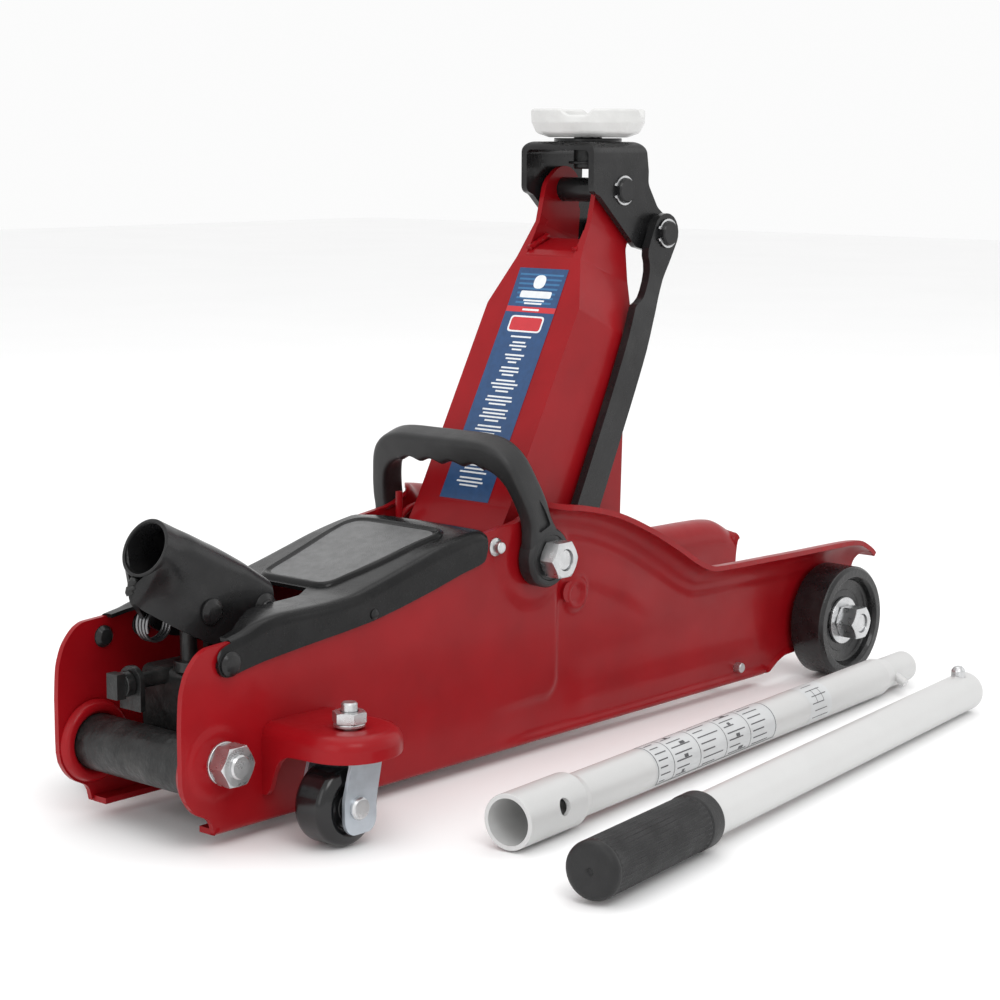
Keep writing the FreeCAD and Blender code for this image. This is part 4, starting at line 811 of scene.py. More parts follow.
def caster_bracket():
    def low(i, n):
        # lower edge of the rim: deep at the plate on the rear side, shallow elsewhere
        x, y = plan_pts(0.0)[i]
        if i <= 14:
            return smooth_table([(47.0, 20.6), (50.0, 21.0), (53.5, 25.0), (56.0, 33.0), (60.0, 39.6), (66.0, 42.6), (84.0, 43.5)], -y)
        return 43.5 + 1.5 * sstep(14, 40, i)
    ref = plan_pts(0.0)
    n = len(ref)
    top = 56.3
    prof = [(-26.0 * 0.0 - 3.0, None, 0.0), (-0.25, None, 0.0), (0.0, None, 0.6), (0.0, 49.3, 0.0)]
    prof += [(-7.0 + 7.0 * math.cos(math.radians(a)), 49.3 + 7.0 * math.sin(math.radians(a)), 0.0) for a in (15, 30, 45, 60, 75, 90)]
    rings = []
    for off, z, add in prof:
        p = plan_pts(off)
        rings.append([(p[i][0], p[i][1], (low(i, n) + add) if z is None else z) for i in range(n)])
    last = rings[-1]
    for f in (0.72, 0.55, 0.48, 0.40, 0.3):
        ring = []
        for i in range(n):
            x, y, z = last[i]
            px, py = XS_ + (x - XS_) * f, -YS_ + (y + YS_) * f
            if i < 12 or i > n - 13:
                py = min(y, -PO - 0.05) if i in (0, n - 1) else py
            rr = math.hypot(px - XS_, py + YS_)
            ring.append((px, py, top - 1.0 * (1 - sstep(8.6, 11.5, rr))))
        # keep the plate end open: the first and last points slide along the plate
        ring[0] = (ring[0][0], -PO - 0.05, top)
        ring[-1] = (ring[-1][0], -PO - 0.05, top)
        rings.append(ring)
    verts, faces = [], []
    for r in rings:
        verts += r
    for i in range(len(rings) - 1):
        for k in range(n - 1):
            faces.append((i * n + k, i * n + k + 1, (i + 1) * n + k + 1, (i + 1) * n + k))
    base = (len(rings) - 1) * n
    faces.append(tuple(base + k for k in range(n)))
    o = raw("bracket_shelf_near", verts, faces)
    bm = bmesh.new()
    bm.from_mesh(o.data)
    bmesh.ops.triangulate(bm, faces=[f for f in bm.faces if len(f.verts) > 4])
    bmesh.ops.recalc_face_normals(bm, faces=bm.faces)
    if sum(f.normal.z * f.calc_area() for f in bm.faces) < 0:
        bmesh.ops.reverse_faces(bm, faces=bm.faces)
    bm.to_mesh(o.data)
    bm.free()
    m = o.modifiers.new("s", "SOLIDIFY")
    m.thickness = 0.0028
    m.offset = -1.0
    bake(o)
    shade(o, 60)
    return place(o, RED, "chassis", "caster_bracket_near")


cb = caster_bracket()
mirrored(cb, "bracket_shelf_far", "caster_bracket_far")
for n in ("caster_fork_near", "caster_fork_far"):
    # legs a little narrower than the plain fork, sheet top unchanged
    src = NODES[n]
    o = link(bpy.data.objects.new(n + "_shaped", src.data.copy()))
    x0 = W(71.5, 0, 0)[0]
    for v in o.data.vertices:
        k = 1.0 - sstep(0.040, 0.049, v.co.z)
        v.co.x = v.co.x + ((x0 - v.co.x) * 0.18 + 0.0008) * k
    finish_mesh(o, 0.45, 2, 32.0, 38.0, dissolve=True)
    place(o, NODE_MAT[n], BODY[n], n)
for s_, nm in ((-1, "near"), (1, "far")):
    prof = fillet([(4.2, -12.4), (7.5, -12.4, 0.6), (7.5, -9.4, 1.0), (11.6, -8.0, 1.6), (12.4, -10.6, 0.6), (14.8, -11.2, 1.0), (20.2, -8.6, 5.6), (20.2, 8.6, 5.6), (14.8, 11.2, 1.0),
                   (12.4, 10.6, 0.6), (11.6, 8.0, 1.6), (7.5, 9.4, 1.0), (7.5, 12.4, 0.6), (4.2, 12.4)], 6)
    o = lathe("caster_tyre_" + nm, prof, (67.1, s_ * YS_, 20.3), (0, 1, 0), seg=96)
    place(o, GLOSSBLK, "caster_wheel_" + nm, "caster_wheel_" + nm)
for n in ("caster_axle_near", "caster_axle_far", "front_wheel_near", "front_wheel_far"):
    refined(n, 0.0, sharp=30)

# --------------------------------------------------------------- handle socket
CA, SA = math.cos(math.radians(27.0)), math.sin(math.radians(27.0))


def sock(s, y, d):
    """Socket axis coordinates: s along from the mouth, d below the axis."""
    return (20.0 + s * CA - d * SA, y, 141.0 - s * SA - d * CA)


SOCK_D = [(0.0, 15.0), (1.4, 23.4), (6.0, 27.5), (15.0, 29.5), (30.0, 31.5), (43.0, 31.8), (52.0, 30.4), (58.3, 27.0), (70.0, 18.8), (79.0, 12.2), (82.0, 9.0), (84.4, 6.0)]
SOCK_T = [(0.0, 15.0), (34.0, 15.0), (50.0, 14.0), (62.0, 12.5), (72.0, 11.5), (77.0, 10.5)]
SOCK_W = [(0.0, 15.0), (10.0, 15.05), (42.0, 17.6), (90.0, 17.6)]
SOCK_B = [(0.0, 1.2), (8.0, 2.5), (16.0, 7.0), (26.0, 13.0), (36.0, 16.6), (42.0, 17.6), (90.0, 17.6)]


def socket_shell():
    ss = list(np.linspace(0.6, 8.0, 12)) + list(np.linspace(9.0, 76.8, 44))
    bm = bmesh.new()
    rings = []
    for s in ss:
        # sections turn from square to the tube to upright at the blunt nose
        sh = 0.5095 * sstep(44.0, 72.0, s)
        D = 20.0
        for _ in range(14):
            D = smooth_table(SOCK_D, s + sh * D)
        T = 14.0
        for _ in range(8):
            T = smooth_table(SOCK_T, s - sh * T)
        w, wb = smooth_table(SOCK_W, s), smooth_table(SOCK_B, s)
        col = []
        low = sstep(14.0, 34.0, s)
        for k in range(16):
            t = k / 16
            f = math.sin(0.5 * math.pi * t ** 1.2)
            col.append((-(wb + (w - wb) * f), D * (1.0 - t)))
        for k in range(25):
            a = math.pi * k / 24
            e = 0.82 - 0.24 * sstep(30, 62, s) if s > 20 else 1.0 - 0.18 * sstep(8, 20, s)
            cx, sx = math.cos(a), math.sin(a)
            col.append((-w * (abs(cx) ** e) * (1 if cx > 0 else -1), -T * (abs(sx) ** e)))
        for k in range(1, 17):
            t = 1.0 - k / 16
            f = math.sin(0.5 * math.pi * t ** 1.2)
            col.append((wb + (w - wb) * f, D * (1.0 - t)))
        rings.append([bm.verts.new(W(*sock(s + sh * d, y, d))) for y, d in col])
    for A, B in zip(rings, rings[1:]):
        for k in range(len(A) - 1):
            bm.faces.new((A[k], A[k + 1], B[k + 1], B[k]))
    bmesh.ops.recalc_face_normals(bm, faces=bm.faces)
    if sum(f.normal.z * f.calc_area() for f in bm.faces) < 0:
        bmesh.ops.reverse_faces(bm, faces=bm.faces)
    me = bpy.data.meshes.new("socket_shell")
    bm.to_mesh(me)
    bm.free()
    o = link(bpy.data.objects.new("socket_shell", me))
    m = o.modifiers.new("s", "SOLIDIFY")
    m.thickness = 0.0022
    m.offset = -1.0
    bake(o)
    m = o.modifiers.new("b", "BEVEL")
    m.width = 0.0006
    m.segments = 2
    m.limit_method = "ANGLE"
    m.angle_limit = math.radians(50)
    bake(o)
    shade(o, 55)
    return place(o, BLACK, "handle_socket", "handle_socket")


socket_shell()
o = lathe("socket_tube", fillet([(13.2, 0.0, 0.5), (15.02, 0.0, 0.6), (15.02, 40.0, 0.6), (13.2, 40.0, 0.4)], 3), sock(0, 0, 0), (CA, 0, -SA))
place(o, BLACK, "handle_socket", slot="black_paint")
# weld bead closing the seam under the mouth
pts = [sock(0.4 + 0.10 * (k - 4) ** 2 * 0.3 + 0.5 * math.sin(k * 1.7), 0.5 * math.sin(k * 2.2), 15.2 + k * 1.05) for k in range(9)]
o = sweep("socket_weld_seam", pts, 2.1, 12)
place(o, BLACKROUGH, "handle_socket", slot="black_paint")
for s_, nm in ((-1, "near"), (1, "far")):
    for (px, pz), r, k in (((82.0, 105.0), 7.0, "f"), ((47.0, 107.8), 6.6, "p")):
        o = lathe("socket_rivet_%s_%s" % (k, nm), fillet([(0.0, -0.2), (r, -0.2), (r, 0.9, 0.5), (r * 0.62, 2.5, 1.6), (0.0, 2.9)], 5), (px, s_ * 17.6, pz), (0, s_, 0))
        place(o, BLACK, "handle_socket", slot="black_paint")

LOWER_ENDS = ((111.9, -152.7, 14.42), (541.3, -108.1, 11.09))
UPPER_ENDS = ((75.6, -231.7, 15.45), (508.7, -171.5, 11.44))

# --------------------------------------------------------------- carry handle
LEAN = math.radians(18.3)


def carry(x, y, h):
    """Carry handle's own frame, upright about the shaft, leaned to the rear."""
    return (254.5 + x * math.cos(LEAN) - h * math.sin(LEAN), y, 112.0 + x * math.sin(LEAN) + h * math.cos(LEAN))


def carry_handle():
    """Moulded bail, section by section along its arch."""
    # stations: (y, h, nx, ny outward normal set by neighbours, half depth along x, radial half thickness)
    path = [(54.6, 0.0), (54.6, 10.0), (54.6, 18.0), (54.3, 26.0), (53.0, 33.0), (51.0, 40.0), (48.6, 46.0), (45.8, 51.0), (42.6, 54.9), (38.6, 57.8), (34.0, 59.5), (29.0, 60.3),
            (22.0, 60.6), (15.0, 60.6), (7.5, 60.6), (0.0, 60.6)]
    path += [(-y, h) for y, h in reversed(path[:-1])]
    dense = []
    for i in range(len(path) - 1):
        p0 = path[max(0, i - 1)]
        p1, p2 = path[i], path[i + 1]
        p3 = path[min(len(path) - 1, i + 2)]
        for k in range(5):
            t = k / 5
            q = []
            for c in (0, 1):
                q.append(0.5 * ((2 * p1[c]) + (-p0[c] + p2[c]) * t + (2 * p0[c] - 5 * p1[c] + 4 * p2[c] - p3[c]) * t * t + (-p0[c] + 3 * p1[c] - 3 * p2[c] + p3[c]) * t ** 3))
            dense.append(tuple(q))
    dense.append(path[-1])
    n = len(dense)
    verts, faces = [], []
    NS = 32
    for i, (y, h) in enumerate(dense):
        a, b = dense[max(0, i - 1)], dense[min(n - 1, i + 1)]
        t = Vector((b[0] - a[0], b[1] - a[1])).normalized()
        nrm = Vector((t.y, -t.x))          # outward for a path that runs over the top
        leg = 1.0 - sstep(14.0, 34.0, h)
        hub = 1.0 - sstep(4.0, 20.0, h)
        deep = 8.2 + 4.6 * (1.0 - sstep(6.0, 24.0, h)) if h < 30 else 8.2
        rear, front = deep + 0.6 * leg, deep - 0.6 * leg
        out = 5.2 * leg + (1 - leg) * (5.4 + 2.9 * sstep(40, 60, h))
        inn = 5.0 * leg + (1 - leg) * (5.2 + 2.6 * sstep(44, 60, h))
        if abs(y) < 33 and h > 55:
            # four finger scallops under the bar
            ph = (y + 32.0) / 64.0 * 4.0
            inn -= 2.5 * (math.sin(math.pi * (ph % 1.0))) ** 1.4 - 0.8
        for k in range(NS):
            a_ = 2 * math.pi * k / NS
            ca, sa = math.cos(a_), math.sin(a_)
            e = 0.42
            px = (front if ca > 0 else -rear) * abs(ca) ** e
            pr_ = (out if sa > 0 else -inn) * abs(sa) ** e
            # set the section point out from the arch along its normal
            v = Vector((y, h)) + nrm * pr_
            verts.append(carry(px, v.x, v.y))
    for i in range(n - 1):
        for k in range(NS):
            k2 = (k + 1) % NS
            faces.append((i * NS + k, i * NS + k2, (i + 1) * NS + k2, (i + 1) * NS + k))
    faces.append(tuple(range(NS))[::-1])
    faces.append(tuple((n - 1) * NS + k for k in range(NS)))
    o = raw("carry_bail", verts, faces)
    bm = bmesh.new()
    bm.from_mesh(o.data)
    bmesh.ops.recalc_face_normals(bm, faces=bm.faces)
    bm.to_mesh(o.data)
    bm.free()
    shade(o, 40)
    # recessed pocket on the outside of each leg, opened into the bail
    for s_ in (-1, 1):
        pts = [carry(-5.2, 0, 17.0), carry(5.0, 0, 17.5), carry(3.4, 0, 27.0), carry(0.6, 0, 40.0), carry(-3.4, 0, 27.0)]
        c = prism("pocket", [(p[0], p[2], 1.6) for p in pts], "y", s_ * 58.3, s_ * 66.0, bevel=0.0)
        boolean(o, [c])
    finish_mesh(o, 0.0, sharp=40)
    return place(o, PLASTIC, "carry_handle", "carry_handle")


carry_handle()
for s_, nm in ((-1, "near"), (1, "far")):
    prof = fillet([(8.1, 49.3), (15.4, 49.3, 1.4), (16.4, 50.6, 1.0), (16.5, 57.6, 1.2), (15.2, 59.9, 1.8), (12.6, 60.0, 0.5), (12.0, 59.2, 0.5), (8.1, 59.2)], 5)
    o = lathe("carry_hub_" + nm, prof, (254.5, 0, 112.0), (0, s_, 0), seg=80)
    place(o, PLASTIC, "carry_handle", slot="black_plastic")

# ------------------------------------------------------------------- lift arm
ARM_C, ARM_S = math.cos(math.radians(61.0)), math.sin(math.radians(61.0))


def arm_half(s):
    return lerp_table([(-90.0, 34.0), (140.8, 34.0), (170.6, 23.4), (193.7, 20.4), (245.0, 20.4)], s)


src = NODES["lift_arm"]
o = link(bpy.data.objects.new("lift_arm_shaped", src.data.copy()))
w0 = W(0, 0, 0)
for v in o.data.vertices:
    x, y, z = (v.co.x - w0[0]) * 1000.0, (v.co.y - w0[1]) * 1000.0, (v.co.z - w0[2]) * 1000.0
    dx = 15.0 * sstep(172.0, 250.0, z) * (1.0 - sstep(284.0, 300.0, z)) * sstep(334.0, 346.0, x)
    if dx > 0.01:
        s_ = (x - 254.5) * ARM_C + (z - 112.0) * ARM_S
        h = arm_half(s_ + dx * ARM_C) - arm_half(s_)
        v.co.x += dx / 1000.0
        v.co.y += (1 if y > 0 else -1) * h / 1000.0
boolean(o, [prism("arm_mouth_cut", [(318.9, 273.0), (332.6, 294.5), (341.1, 289.2), (327.4, 267.7)], "y", -17.35, 17.35, bevel=0.0)])
finish_mesh(o, 1.5, 3, 26.0, 50.0, dissolve=True)
place(o, RED, "lift_arm", "lift_arm")
refined("arm_pivot_tube", 0.5)
# bent web and weld runs inside the top of the arm
o = prism("arm_top_web", [(321.6, 270.6), (325.6, 273.6, 5), (343.0, 279.6), (343.8, 277.2), (326.6, 270.8, 5), (322.6, 267.6)], "y", -17.6, 17.6, bevel=0.5)
place(o, RED, "lift_arm", slot="red_paint")
for s_, nm in ((-1, "near"), (1, "far")):
    pts = [(324.0 + 1.5 * k, s_ * (16.6 + 0.25 * math.sin(k * 1.9)), 273.8 + 0.62 * k + 0.3 * math.sin(k * 2.3)) for k in range(12)]
    o = sweep("arm_top_weld_" + nm, pts, 1.9, 12)
    place(o, RED, "lift_arm", slot="red_paint")
RP = [(249.2, 137.2), (307.8, 243.1), (321.5, 269.6)]


def rear_face(s, off):
    """Point on the arm's rear face, s up from its foot, lifted by off."""
    L1 = math.hypot(RP[1][0] - RP[0][0], RP[1][1] - RP[0][1])
    if s <= L1:
        d = ((RP[1][0] - RP[0][0]) / L1, (RP[1][1] - RP[0][1]) / L1)
        p = (RP[0][0] + d[0] * s, RP[0][1] + d[1] * s)
    else:
        L2 = math.hypot(RP[2][0] - RP[1][0], RP[2][1] - RP[1][1])
        d = ((RP[2][0] - RP[1][0]) / L2, (RP[2][1] - RP[1][1]) / L2)
        p = (RP[1][0] + d[0] * (s - L1), RP[1][1] + d[1] * (s - L1))
    return p[0] - d[1] * off, p[1] + d[0] * off


def decal(name, s0, s1, y0, y1, off, mat, rc=0.0):
    pts = rounded([(s0, y0, rc), (s1, y0, rc), (s1, y1, rc), (s0, y1, rc)], 5) if rc else [(s0, y0), (s1, y0), (s1, y1), (s0, y1)]
    if rc:
        verts = [(*((lambda q: (q[0], y, q[1]))(rear_face(s, off))),) for s, y in pts]
        faces = [tuple(range(len(verts)))]
    else:
        n = max(1, int((s1 - s0) / 6.0))
        verts, faces = [], []
        for i in range(n + 1):
            x, z = rear_face(s0 + (s1 - s0) * i / n, off)
            verts += [(x, y0, z), (x, y1, z)]
        faces = [(2 * i, 2 * i + 1, 2 * i + 3, 2 * i + 2) for i in range(n)]
    return verts, faces, mat


def decals(name, items, mat, body, slot):
    verts, faces = [], []
    for v, f, _ in items:
        b = len(verts)
        verts += v
        faces += [tuple(i + b for i in g) for g in f]
    o = raw(name, verts, faces)
    return place(o, mat, body, slot=slot)


LT = 143.6
decals("arm_label", [decal("", 1.0, LT, -18.0, 18.0, 0.22, LABEL)], LABEL, "lift_arm", "white_paint")
items = []
for k in range(7):
    w = 16.0 - 0.5 * k
    items.append(decal("", LT - 4.6 - 2.9 * k, LT - 3.4 - 2.9 * k, -w, w, 0.27, LABELL))
decals("arm_label_bands", items, LABELL, "lift_arm", "white_paint")
decals("arm_label_stripe", [decal("", LT - 27.4, LT - 24.0, -18.0, 18.0, 0.29, LABELR), decal("", LT - 38.8, LT - 30.6, -11.2, 11.2, 0.33, LABELR, 2.0)], LABELR, "lift_arm", "red_paint")
items = [decal("", LT - 39.8, LT - 29.6, -12.3, 12.3, 0.29, LABELW, 2.6), decal("", LT - 12.6, LT - 4.2, -4.3, 4.3, 0.31, LABELW, 4.1), decal("", LT - 18.4, LT - 14.2, -11.4, 11.4, 0.31, LABELW, 1.2),
         decal("", LT - 20.6, LT - 19.6, -7.6, 7.6, 0.31, LABELW), decal("", LT - 22.4, LT - 21.4, -6.4, 6.4, 0.31, LABELW), decal("", LT - 26.4, LT - 25.2, -6.0, 6.0, 0.32, LABELW)]
rows = [9.5, 0, 6.0, 8.0, 4.5, 0, 9.0, 7.2, 4.0, 0, 8.4, 9.0, 5.5, 0, 9.0, 12.5, 10.0, 6.0, 0, 11.5, 12.5, 8.0, 0, 12.0, 10.5, 12.8, 6.5, 0, 11.0, 12.4, 7.0, 0, 12.6, 9.5, 0, 12.0, 12.6, 10.0, 5.5, 0, 11.8, 9.2, 12.5, 0, 10.5, 12.2, 8.5]
s = LT - 42.2
for w in rows:
    if w and s > 4.0:
        items.append(decal("", s - 1.0, s, -0.78 * w, 0.78 * w, 0.29, LABELW))
    s -= 2.2 if w else 1.3
decals("arm_label_marks", items, LABELW, "lift_arm", "white_paint")

# return springs: coils on the shaft with a hooked tail
for s_, nm, tail in ((-1, "near", 10.0), (1, "far", 26.0)):
    pts = []
    for k in range(0, 30 * 4 + 1):
        a = math.radians(262.0) - 2 * math.pi * k / 96.0
        pts.append((254.5 + 18.2 * math.cos(a), s_ * (42.0 - 4.2 * k / 96.0), 112.0 + 18.2 * math.sin(a)))
    ex, ey, ez = pts[-1]
    pts += [(ex, ey, ez + tail * k / 6) for k in range(1, 7)]
    o = sweep("arm_spring_" + nm, pts, 2.0, 14)
    place(o, RED, "lift_arm", "arm_return_springs" if s_ < 0 else None, slot="red_paint")

# ------------------------------------------------------ head, links and saddle
refined("head_bracket", 1.1, segs=3, angle=26, sharp=50)
LINK_X, LINK_Z, LINK_L = 254.5 + 31.0, 112.0 - 24.9, math.hypot(101.5, 195.2)
LINK_C, LINK_S = 101.5 / LINK_L, 195.2 / LINK_L
LINK_Y = [(-14.0, 41.6), (40.0, 41.5), (110.0, 40.6), (146.0, 39.5), (172.0, 36.9), (188.0, 34.9), (200.0, 34.2), (240.0, 34.2)]
LINK_REAR = [(0.0, 12.4), (14.0, 11.4), (30.0, 9.8), (100.0, 9.5), (168.5, 9.5), (170.5, 8.9), (173.0, 6.6), (177.0, 4.4), (182.0, 3.3), (188.0, 3.1), (194.0, 4.0), (198.5, 6.4), (201.0, 9.2),
             (204.0, 10.6), (210.0, 11.2), (LINK_L, 11.5)]
LINK_FRONT = [(0.0, 12.4), (14.0, 11.4), (30.0, 9.8), (100.0, 9.5), (195.0, 9.5), (208.0, 10.8), (LINK_L, 11.5)]


def link_bar(side, name, node):
    """Flat bar with round eyes, set inwards towards its top and scooped on its rear edge."""
    aa = [-12.38, -12.1, -11.4, -10.2, -8.4, -6.0, -3.0, 0.0, 6.0, 14.0, 22.0, 30.0] + [38.0 + 8.0 * k for k in range(16)] + [164.0, 168.5] + [170.5 + 1.6 * k for k in range(20)]
    aa += [204.0, 207.0, 210.0, 214.0, LINK_L, LINK_L + 3.0, LINK_L + 6.0, LINK_L + 8.4, LINK_L + 10.2, LINK_L + 11.0, LINK_L + 11.42]
    verts, faces = [], []
    NB = 6
    for a in aa:
        if a < 0:
            r0 = r1 = math.sqrt(max(0.05, 12.4 ** 2 - a * a))
        elif a > LINK_L:
            r0 = r1 = math.sqrt(max(0.05, 11.5 ** 2 - (a - LINK_L) ** 2))
        else:
            r0, r1 = lerp_table(LINK_REAR, a), lerp_table(LINK_FRONT, a)
        yo = smooth_table(LINK_Y, a)
        for y in (yo, yo - 5.0):
            for k in range(NB + 1):
                b = -r1 + (r0 + r1) * k / NB
                verts.append((LINK_X + a * LINK_C - b * LINK_S, side * y, LINK_Z + a * LINK_S + b * LINK_C))
    W_ = 2 * (NB + 1)
    for i in range(len(aa) - 1):
        p, q = i * W_, (i + 1) * W_
        for base in (0, NB + 1):
            for k in range(NB):
                faces.append((p + base + k, p + base + k + 1, q + base + k + 1, q + base + k))
        for k in (0, NB):
            faces.append((p + k, q + k, q + NB + 1 + k, p + NB + 1 + k))
    for p in (0, (len(aa) - 1) * W_):
        for k in range(NB):
            faces.append((p + k, p + k + 1, p + NB + 2 + k, p + NB + 1 + k))
    o = raw(name, verts, faces)
    bm = bmesh.new()
    bm.from_mesh(o.data)
    bmesh.ops.recalc_face_normals(bm, faces=bm.faces)
    bm.to_mesh(o.data)
    bm.free()
    m = o.modifiers.new("b", "BEVEL")
    m.width = 0.0007
    m.segments = 2
    m.limit_method = "ANGLE"
    m.angle_limit = math.radians(55)
    bake(o)
    shade(o, 45)
    return place(o, BLACK, BODY[node], node)


link_bar(-1, "link_bar_near", "lift_link_near")
link_bar(1, "link_bar_far", "lift_link_far")
refined("saddle_washer", 0.3)


def saddle():
    """Cast cup with four raised lobes, turned profile with a waving rim."""
    prof = fillet([(0.0, 319.2), (7.2, 319.2, 0.6), (7.9, 320.2, 0.4), (7.9, 337.0, 0.4), (22.5, 337.0, 3.0), (29.6, 339.4, 4.0), (32.6, 345.4, 3.0), (33.0, 352.4, 1.4), (31.2, 353.2, 1.4),
                   (28.8, 352.6, 1.6), (27.4, 347.0, 2.5), (17.0, 344.9, 2.5), (14.2, 343.3, 1.5), (0.0, 343.2)], 5)
    SEG = 144
    verts, faces = [], []
    n = len(prof)
    for k in range(SEG):
        a = 2 * math.pi * k / SEG
        lob = math.cos(4 * (a - math.radians(27.0)))
        dip = sstep(0.30, 0.86, lob)
        for r, z in prof:
            zz = z
            if z > 347.5:
                zz = z - 3.6 * dip * min(1.0, (z - 347.5) / 4.0)
                r = r - 0.5 * dip * (1 if r > 30 else 0)
            g = 0.16 * mnoise.noise(Vector((math.cos(a) * r * 0.13, math.sin(a) * r * 0.13, z * 0.13)))
            rr = r + (g if r > 9 else 0)
            verts.append((356.0 + rr * math.cos(a), rr * math.sin(a), zz))
    for k in range(SEG):
        k2 = (k + 1) % SEG
        for i in range(n - 1):
            faces.append((k * n + i, k * n + i + 1, k2 * n + i + 1, k2 * n + i))
    o = raw("saddle_cast", verts, faces)
    finish_mesh(o, 0.0, sharp=55)
    return place(o, CAST, "saddle", "saddle")


saddle()
o = lathe("saddle_stem_dark", fillet([(0.0, 319.0), (7.3, 319.0, 0.6), (8.1, 320.0, 0.4), (8.1, 337.05, 0.1), (0.0, 337.05)], 4), (356.0, 0.0, 0.0), (0, 0, 1))
place(o, BLACKROUGH, "saddle", slot="black_paint")

# ------------------------------------------------------------ handle and grip
la, lb = LOWER_ENDS
ua, ub = UPPER_ENDS


def unit(a, b):
    return (Vector(b) - Vector(a)).normalized()


ul, uu = unit(la, lb), unit(ua, ub)
refined("handle_lower_tube", 0.35, angle=40, sharp=45)
refined("handle_upper_tube", 0.35, angle=40, sharp=45)
GL, GR, HR = 103.0, 14.3, 11.4
prof = [(0.0, 1.1), (1.3, 1.1), (2.2, 0.15), (3.0, 0.0), (9.5, 0.0), (11.2, 0.25), (12.6, 1.0), (13.6, 2.3), (13.95, 3.6), (14.0, 5.2), (13.55, 5.8), (13.7, 6.6)]
k = 7.6
while k < GL - 13.4:
    prof.append((13.95, k))
    k += 5.0
prof += [(13.95, GL - 13.2), (13.7, GL - 12.4), (14.2, GL - 11.6), (14.3, GL - 10.8), (14.3, GL - 1.6), (14.0, GL - 0.7), (13.2, GL), (11.45, GL), (11.45, 3.95), (0.0, 3.95)]


def ribs(a, s):
    w = sstep(6.4, 8.4, s) * (1.0 - sstep(GL - 14.2, GL - 12.8, s))
    return 1.0 - 0.062 * w * (0.5 + 0.5 * math.cos(a * 34)) ** 0.55


o = lathe("grip_ribbed", prof, ua, uu, seg=34 * 8, wob=ribs, sharp=42)
place(o, RUBBER, "handle_upper", "handle_grip")
refined("spring_button", 0.0, sharp=30)


def on_tube(a0, d, r, s, ang):
    """Point on a tube; ang 0 faces outward level, 90 faces up."""
    side = Vector((d.y, -d.x, 0)).normalized()
    upv = side.cross(d)
    if upv.z < 0:
        upv = -upv
    t = math.radians(ang)
    return tuple(Vector(a0) + d * s + side * (r * math.cos(t)) + upv * (r * math.sin(t)))


def tube_patch(items, s0, s1, g0, g1, r):
    n, m = max(2, int(abs(g1 - g0) / 6)), max(1, int((s1 - s0) / 12))
    verts, faces = [], []
    for i in range(m + 1):
        for j in range(n + 1):
            verts.append(on_tube(la, ul, r, s0 + (s1 - s0) * i / m, g0 + (g1 - g0) * j / n))
    for i in range(m):
        for j in range(n):
            faces.append((i * (n + 1) + j, i * (n + 1) + j + 1, (i + 1) * (n + 1) + j + 1, (i + 1) * (n + 1) + j))
    items.append((verts, faces, None))


base, ink = [], []
S0, S1 = 118.0, 246.0
tube_patch(base, S0, S1, -40, 112, 11.47)
tube_patch(base, 287.0, 313.0, -40, 112, 11.47)
for s0, s1 in ((S0 + 1.0, S0 + 1.6), (S1 - 1.6, S1 - 1.0), (S0 + 17.0, S0 + 17.5), (S0 + 44, S0 + 44.5), (S0 + 72, S0 + 72.5), (S0 + 98, S0 + 98.5)):
    tube_patch(ink, s0, s1, -37, 109, 11.53)
for g in (-36.5, -33.5, 106.5, 109.5):
    tube_patch(ink, S0 + 1.0, S1 - 1.0, g, g + 1.6, 11.53)
rng = np.random.RandomState(7)
for cell in range(5):
    c0 = S0 + (3.0, 19.5, 46.5, 74.5, 100.5)[cell]
    c1 = S0 + (15.0, 42.0, 70.0, 96.0, 124.0)[cell]
    for j in range(7):
        g = -28 + j * 19.0
        ln = (c1 - c0) * (0.45 + 0.5 * rng.rand())
        tube_patch(ink, c0 + 0.6, c0 + ln, g, g + 3.4, 11.53)
        if cell % 2 and j % 2 == 0:
            tube_patch(ink, c0 + ln * 0.55, c0 + ln * 0.8, g + 4.0, g + 13.0, 11.53)
for j in range(6):
    g = -24 + j * 21.0
    tube_patch(ink, 290.0 + (j % 2) * 2.0, 309.0 - (j % 3) * 2.5, g, g + 2.6, 11.53)
for s0 in (296.0, 303.5):
    tube_patch(ink, s0, s0 + 0.5, 18, 64, 11.53)
decals("handle_sticker", base, STICK, "handle_lower", "white_paint")
decals("handle_sticker_marks", ink, INK, "handle_lower", "black_paint")

# ------------------------------------------------------- small turned hardware
DONE = set(o.get("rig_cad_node", "") for o in [])
for n in ("main_pivot_nuts", "front_axle_nuts"):
    refined(n, 0.35, angle=34, sharp=30)
src = NODES["caster_stem_nuts"]
o = link(bpy.data.objects.new("caster_stem_nuts_shaped", src.data.copy()))
for v in o.data.vertices:
    cx, cy, _ = W(XS_, -YS_ if v.co.y < W(0, 0, 0)[1] else YS_, 0)
    v.co.x, v.co.y = cx + (v.co.x - cx) * 1.13, cy + (v.co.y - cy) * 1.13
finish_mesh(o, 0.35, 2, 34.0, 30.0, dissolve=True)
place(o, ZINC, "chassis", "caster_stem_nuts")
for n in ("front_axle_washers", "release_valve", "release_valve_bracket", "pump_block", "ram_cylinder", "plunger_gland", "plunger_pin", "ram_pusher", "circlips",
          "far_plate_bolt"):
    refined(n, 0.35, angle=34, sharp=35)
for n in ("cover_rivets", "cover_front_screws", "head_pin", "link_top_pin", "pump_plunger", "front_axle", "front_tie_rod",
          "main_pivot_shaft", "link_pivot_pins", "socket_fulcrum_pin", "ram_rod", "ram_pin", "oil_filler_plug", "caster_stem_bolts", "saddle_stem_clip"):
    refined(n, 0.0, sharp=30)

refined("cover_side_screws", 0.0, sharp=30, mat=BLACK)
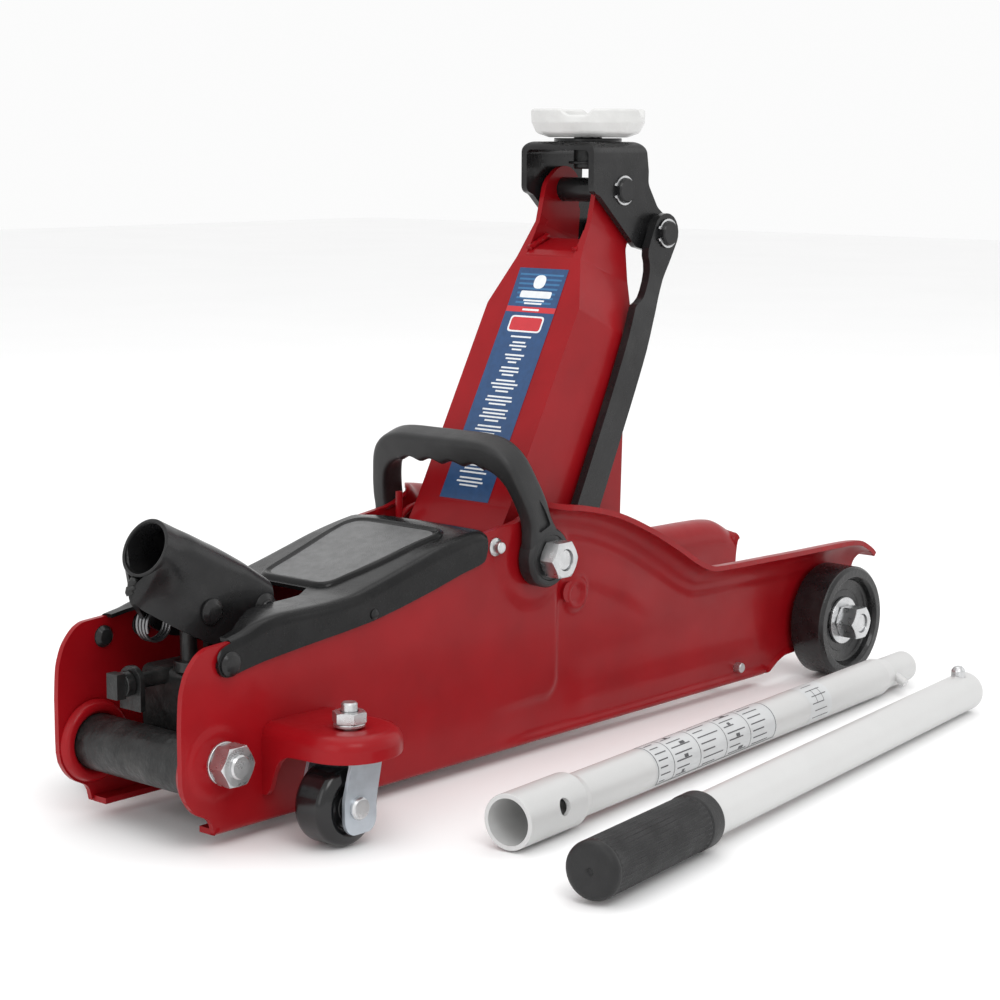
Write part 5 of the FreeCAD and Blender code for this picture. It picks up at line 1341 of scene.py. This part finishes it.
# rear bolt and its nuts, a little forward of the tube
for n in ("rear_axle_nuts", "rear_axle_bolt"):
    src = NODES[n]
    o = link(bpy.data.objects.new(n + "_shaped", src.data.copy()))
    cx, cy, cz = W(22.0, 0.0, 42.0)
    for v in o.data.vertices:
        if n == "rear_axle_nuts" and abs(v.co.y - cy) < (PO + 2.19) / 1000.0:
            v.co.x, v.co.z = cx + (v.co.x - cx) * 0.88, cz + (v.co.z - cz) * 0.88
        v.co.x += 0.0035
        if n == "rear_axle_bolt" and abs(v.co.y) > 0.055:
            v.co.y += 0.004 * (1 if v.co.y > 0 else -1)
    finish_mesh(o, 0.35 if n == "rear_axle_nuts" else 0.0, 2, 34.0, 30.0, dissolve=True)
    place(o, NODE_MAT[n], "chassis", n)
#PIECES

for n, o in NODES.items():
    o.data.materials.clear()
    o.data.materials.append(NODE_MAT[n])
    for p_ in o.data.polygons:
        p_.use_smooth = False

# ------------------------------------------------------------ floor and light
bm = bmesh.new()
bmesh.ops.create_grid(bm, x_segments=2, y_segments=2, size=6.0)
me = bpy.data.meshes.new("studio_floor")
bm.to_mesh(me)
bm.free()
floor = link(bpy.data.objects.new("studio_floor", me))
floor.location.z = -0.0006
fm = material("studio_floor", (0.95, 0.95, 0.95), 0.70, vary=0.01, vscale=3.0, rvary=0.03, bump=0.0)
me.materials.append(fm)

world = bpy.data.worlds.new("studio")
bpy.context.scene.world = world
world.use_nodes = True
world.node_tree.nodes["Background"].inputs[0].default_value = (1.0, 1.0, 1.0, 1.0)
world.node_tree.nodes["Background"].inputs[1].default_value = 0.97


def area(name, loc, target, size, power, size_y=None):
    l = bpy.data.lights.new(name, "AREA")
    l.energy = power
    l.shape = "RECTANGLE"
    l.size = size
    l.size_y = size_y or size
    o = link(bpy.data.objects.new(name, l))
    o.location = loc
    d = Vector(target) - Vector(loc)
    o.rotation_euler = d.to_track_quat("-Z", "Y").to_euler()
    return o


area("key", (-1.0, -1.5, 2.0), (0.0, 0.0, 0.1), 1.1, 15)
area("top", (0.1, 0.2, 2.2), (0.0, 0.05, 0.1), 1.8, 11)
area("left", (-2.0, -0.2, 0.9), (0.0, 0.05, 0.15), 1.0, 5, 1.4)
area("right", (1.9, -1.2, 1.0), (0.1, 0.0, 0.12), 0.9, 2, 1.2)

cam_d = bpy.data.cameras.new("camera")
cam_d.sensor_width = 36.0
cam_d.lens = 84.16
cam_d.clip_start = 0.05
cam = link(bpy.data.objects.new("camera", cam_d))
a_, p_, r_ = math.radians(41.045), math.radians(8.87), math.radians(0.275)
fwd = Vector((math.cos(a_) * math.cos(p_), math.sin(a_) * math.cos(p_), -math.sin(p_)))
right = Vector((math.sin(a_), -math.cos(a_), 0.0))
up = right.cross(fwd)
rr_ = right * math.cos(r_) + up * math.sin(r_)
uu_ = up * math.cos(r_) - right * math.sin(r_)
rot = Matrix((rr_, uu_, -fwd)).transposed()
cam.matrix_world = Matrix.Translation(W(-703.4, -856.6, 338.0)) @ rot.to_4x4()
bpy.context.scene.camera = cam
bpy.context.scene.view_settings.view_transform = "Standard"
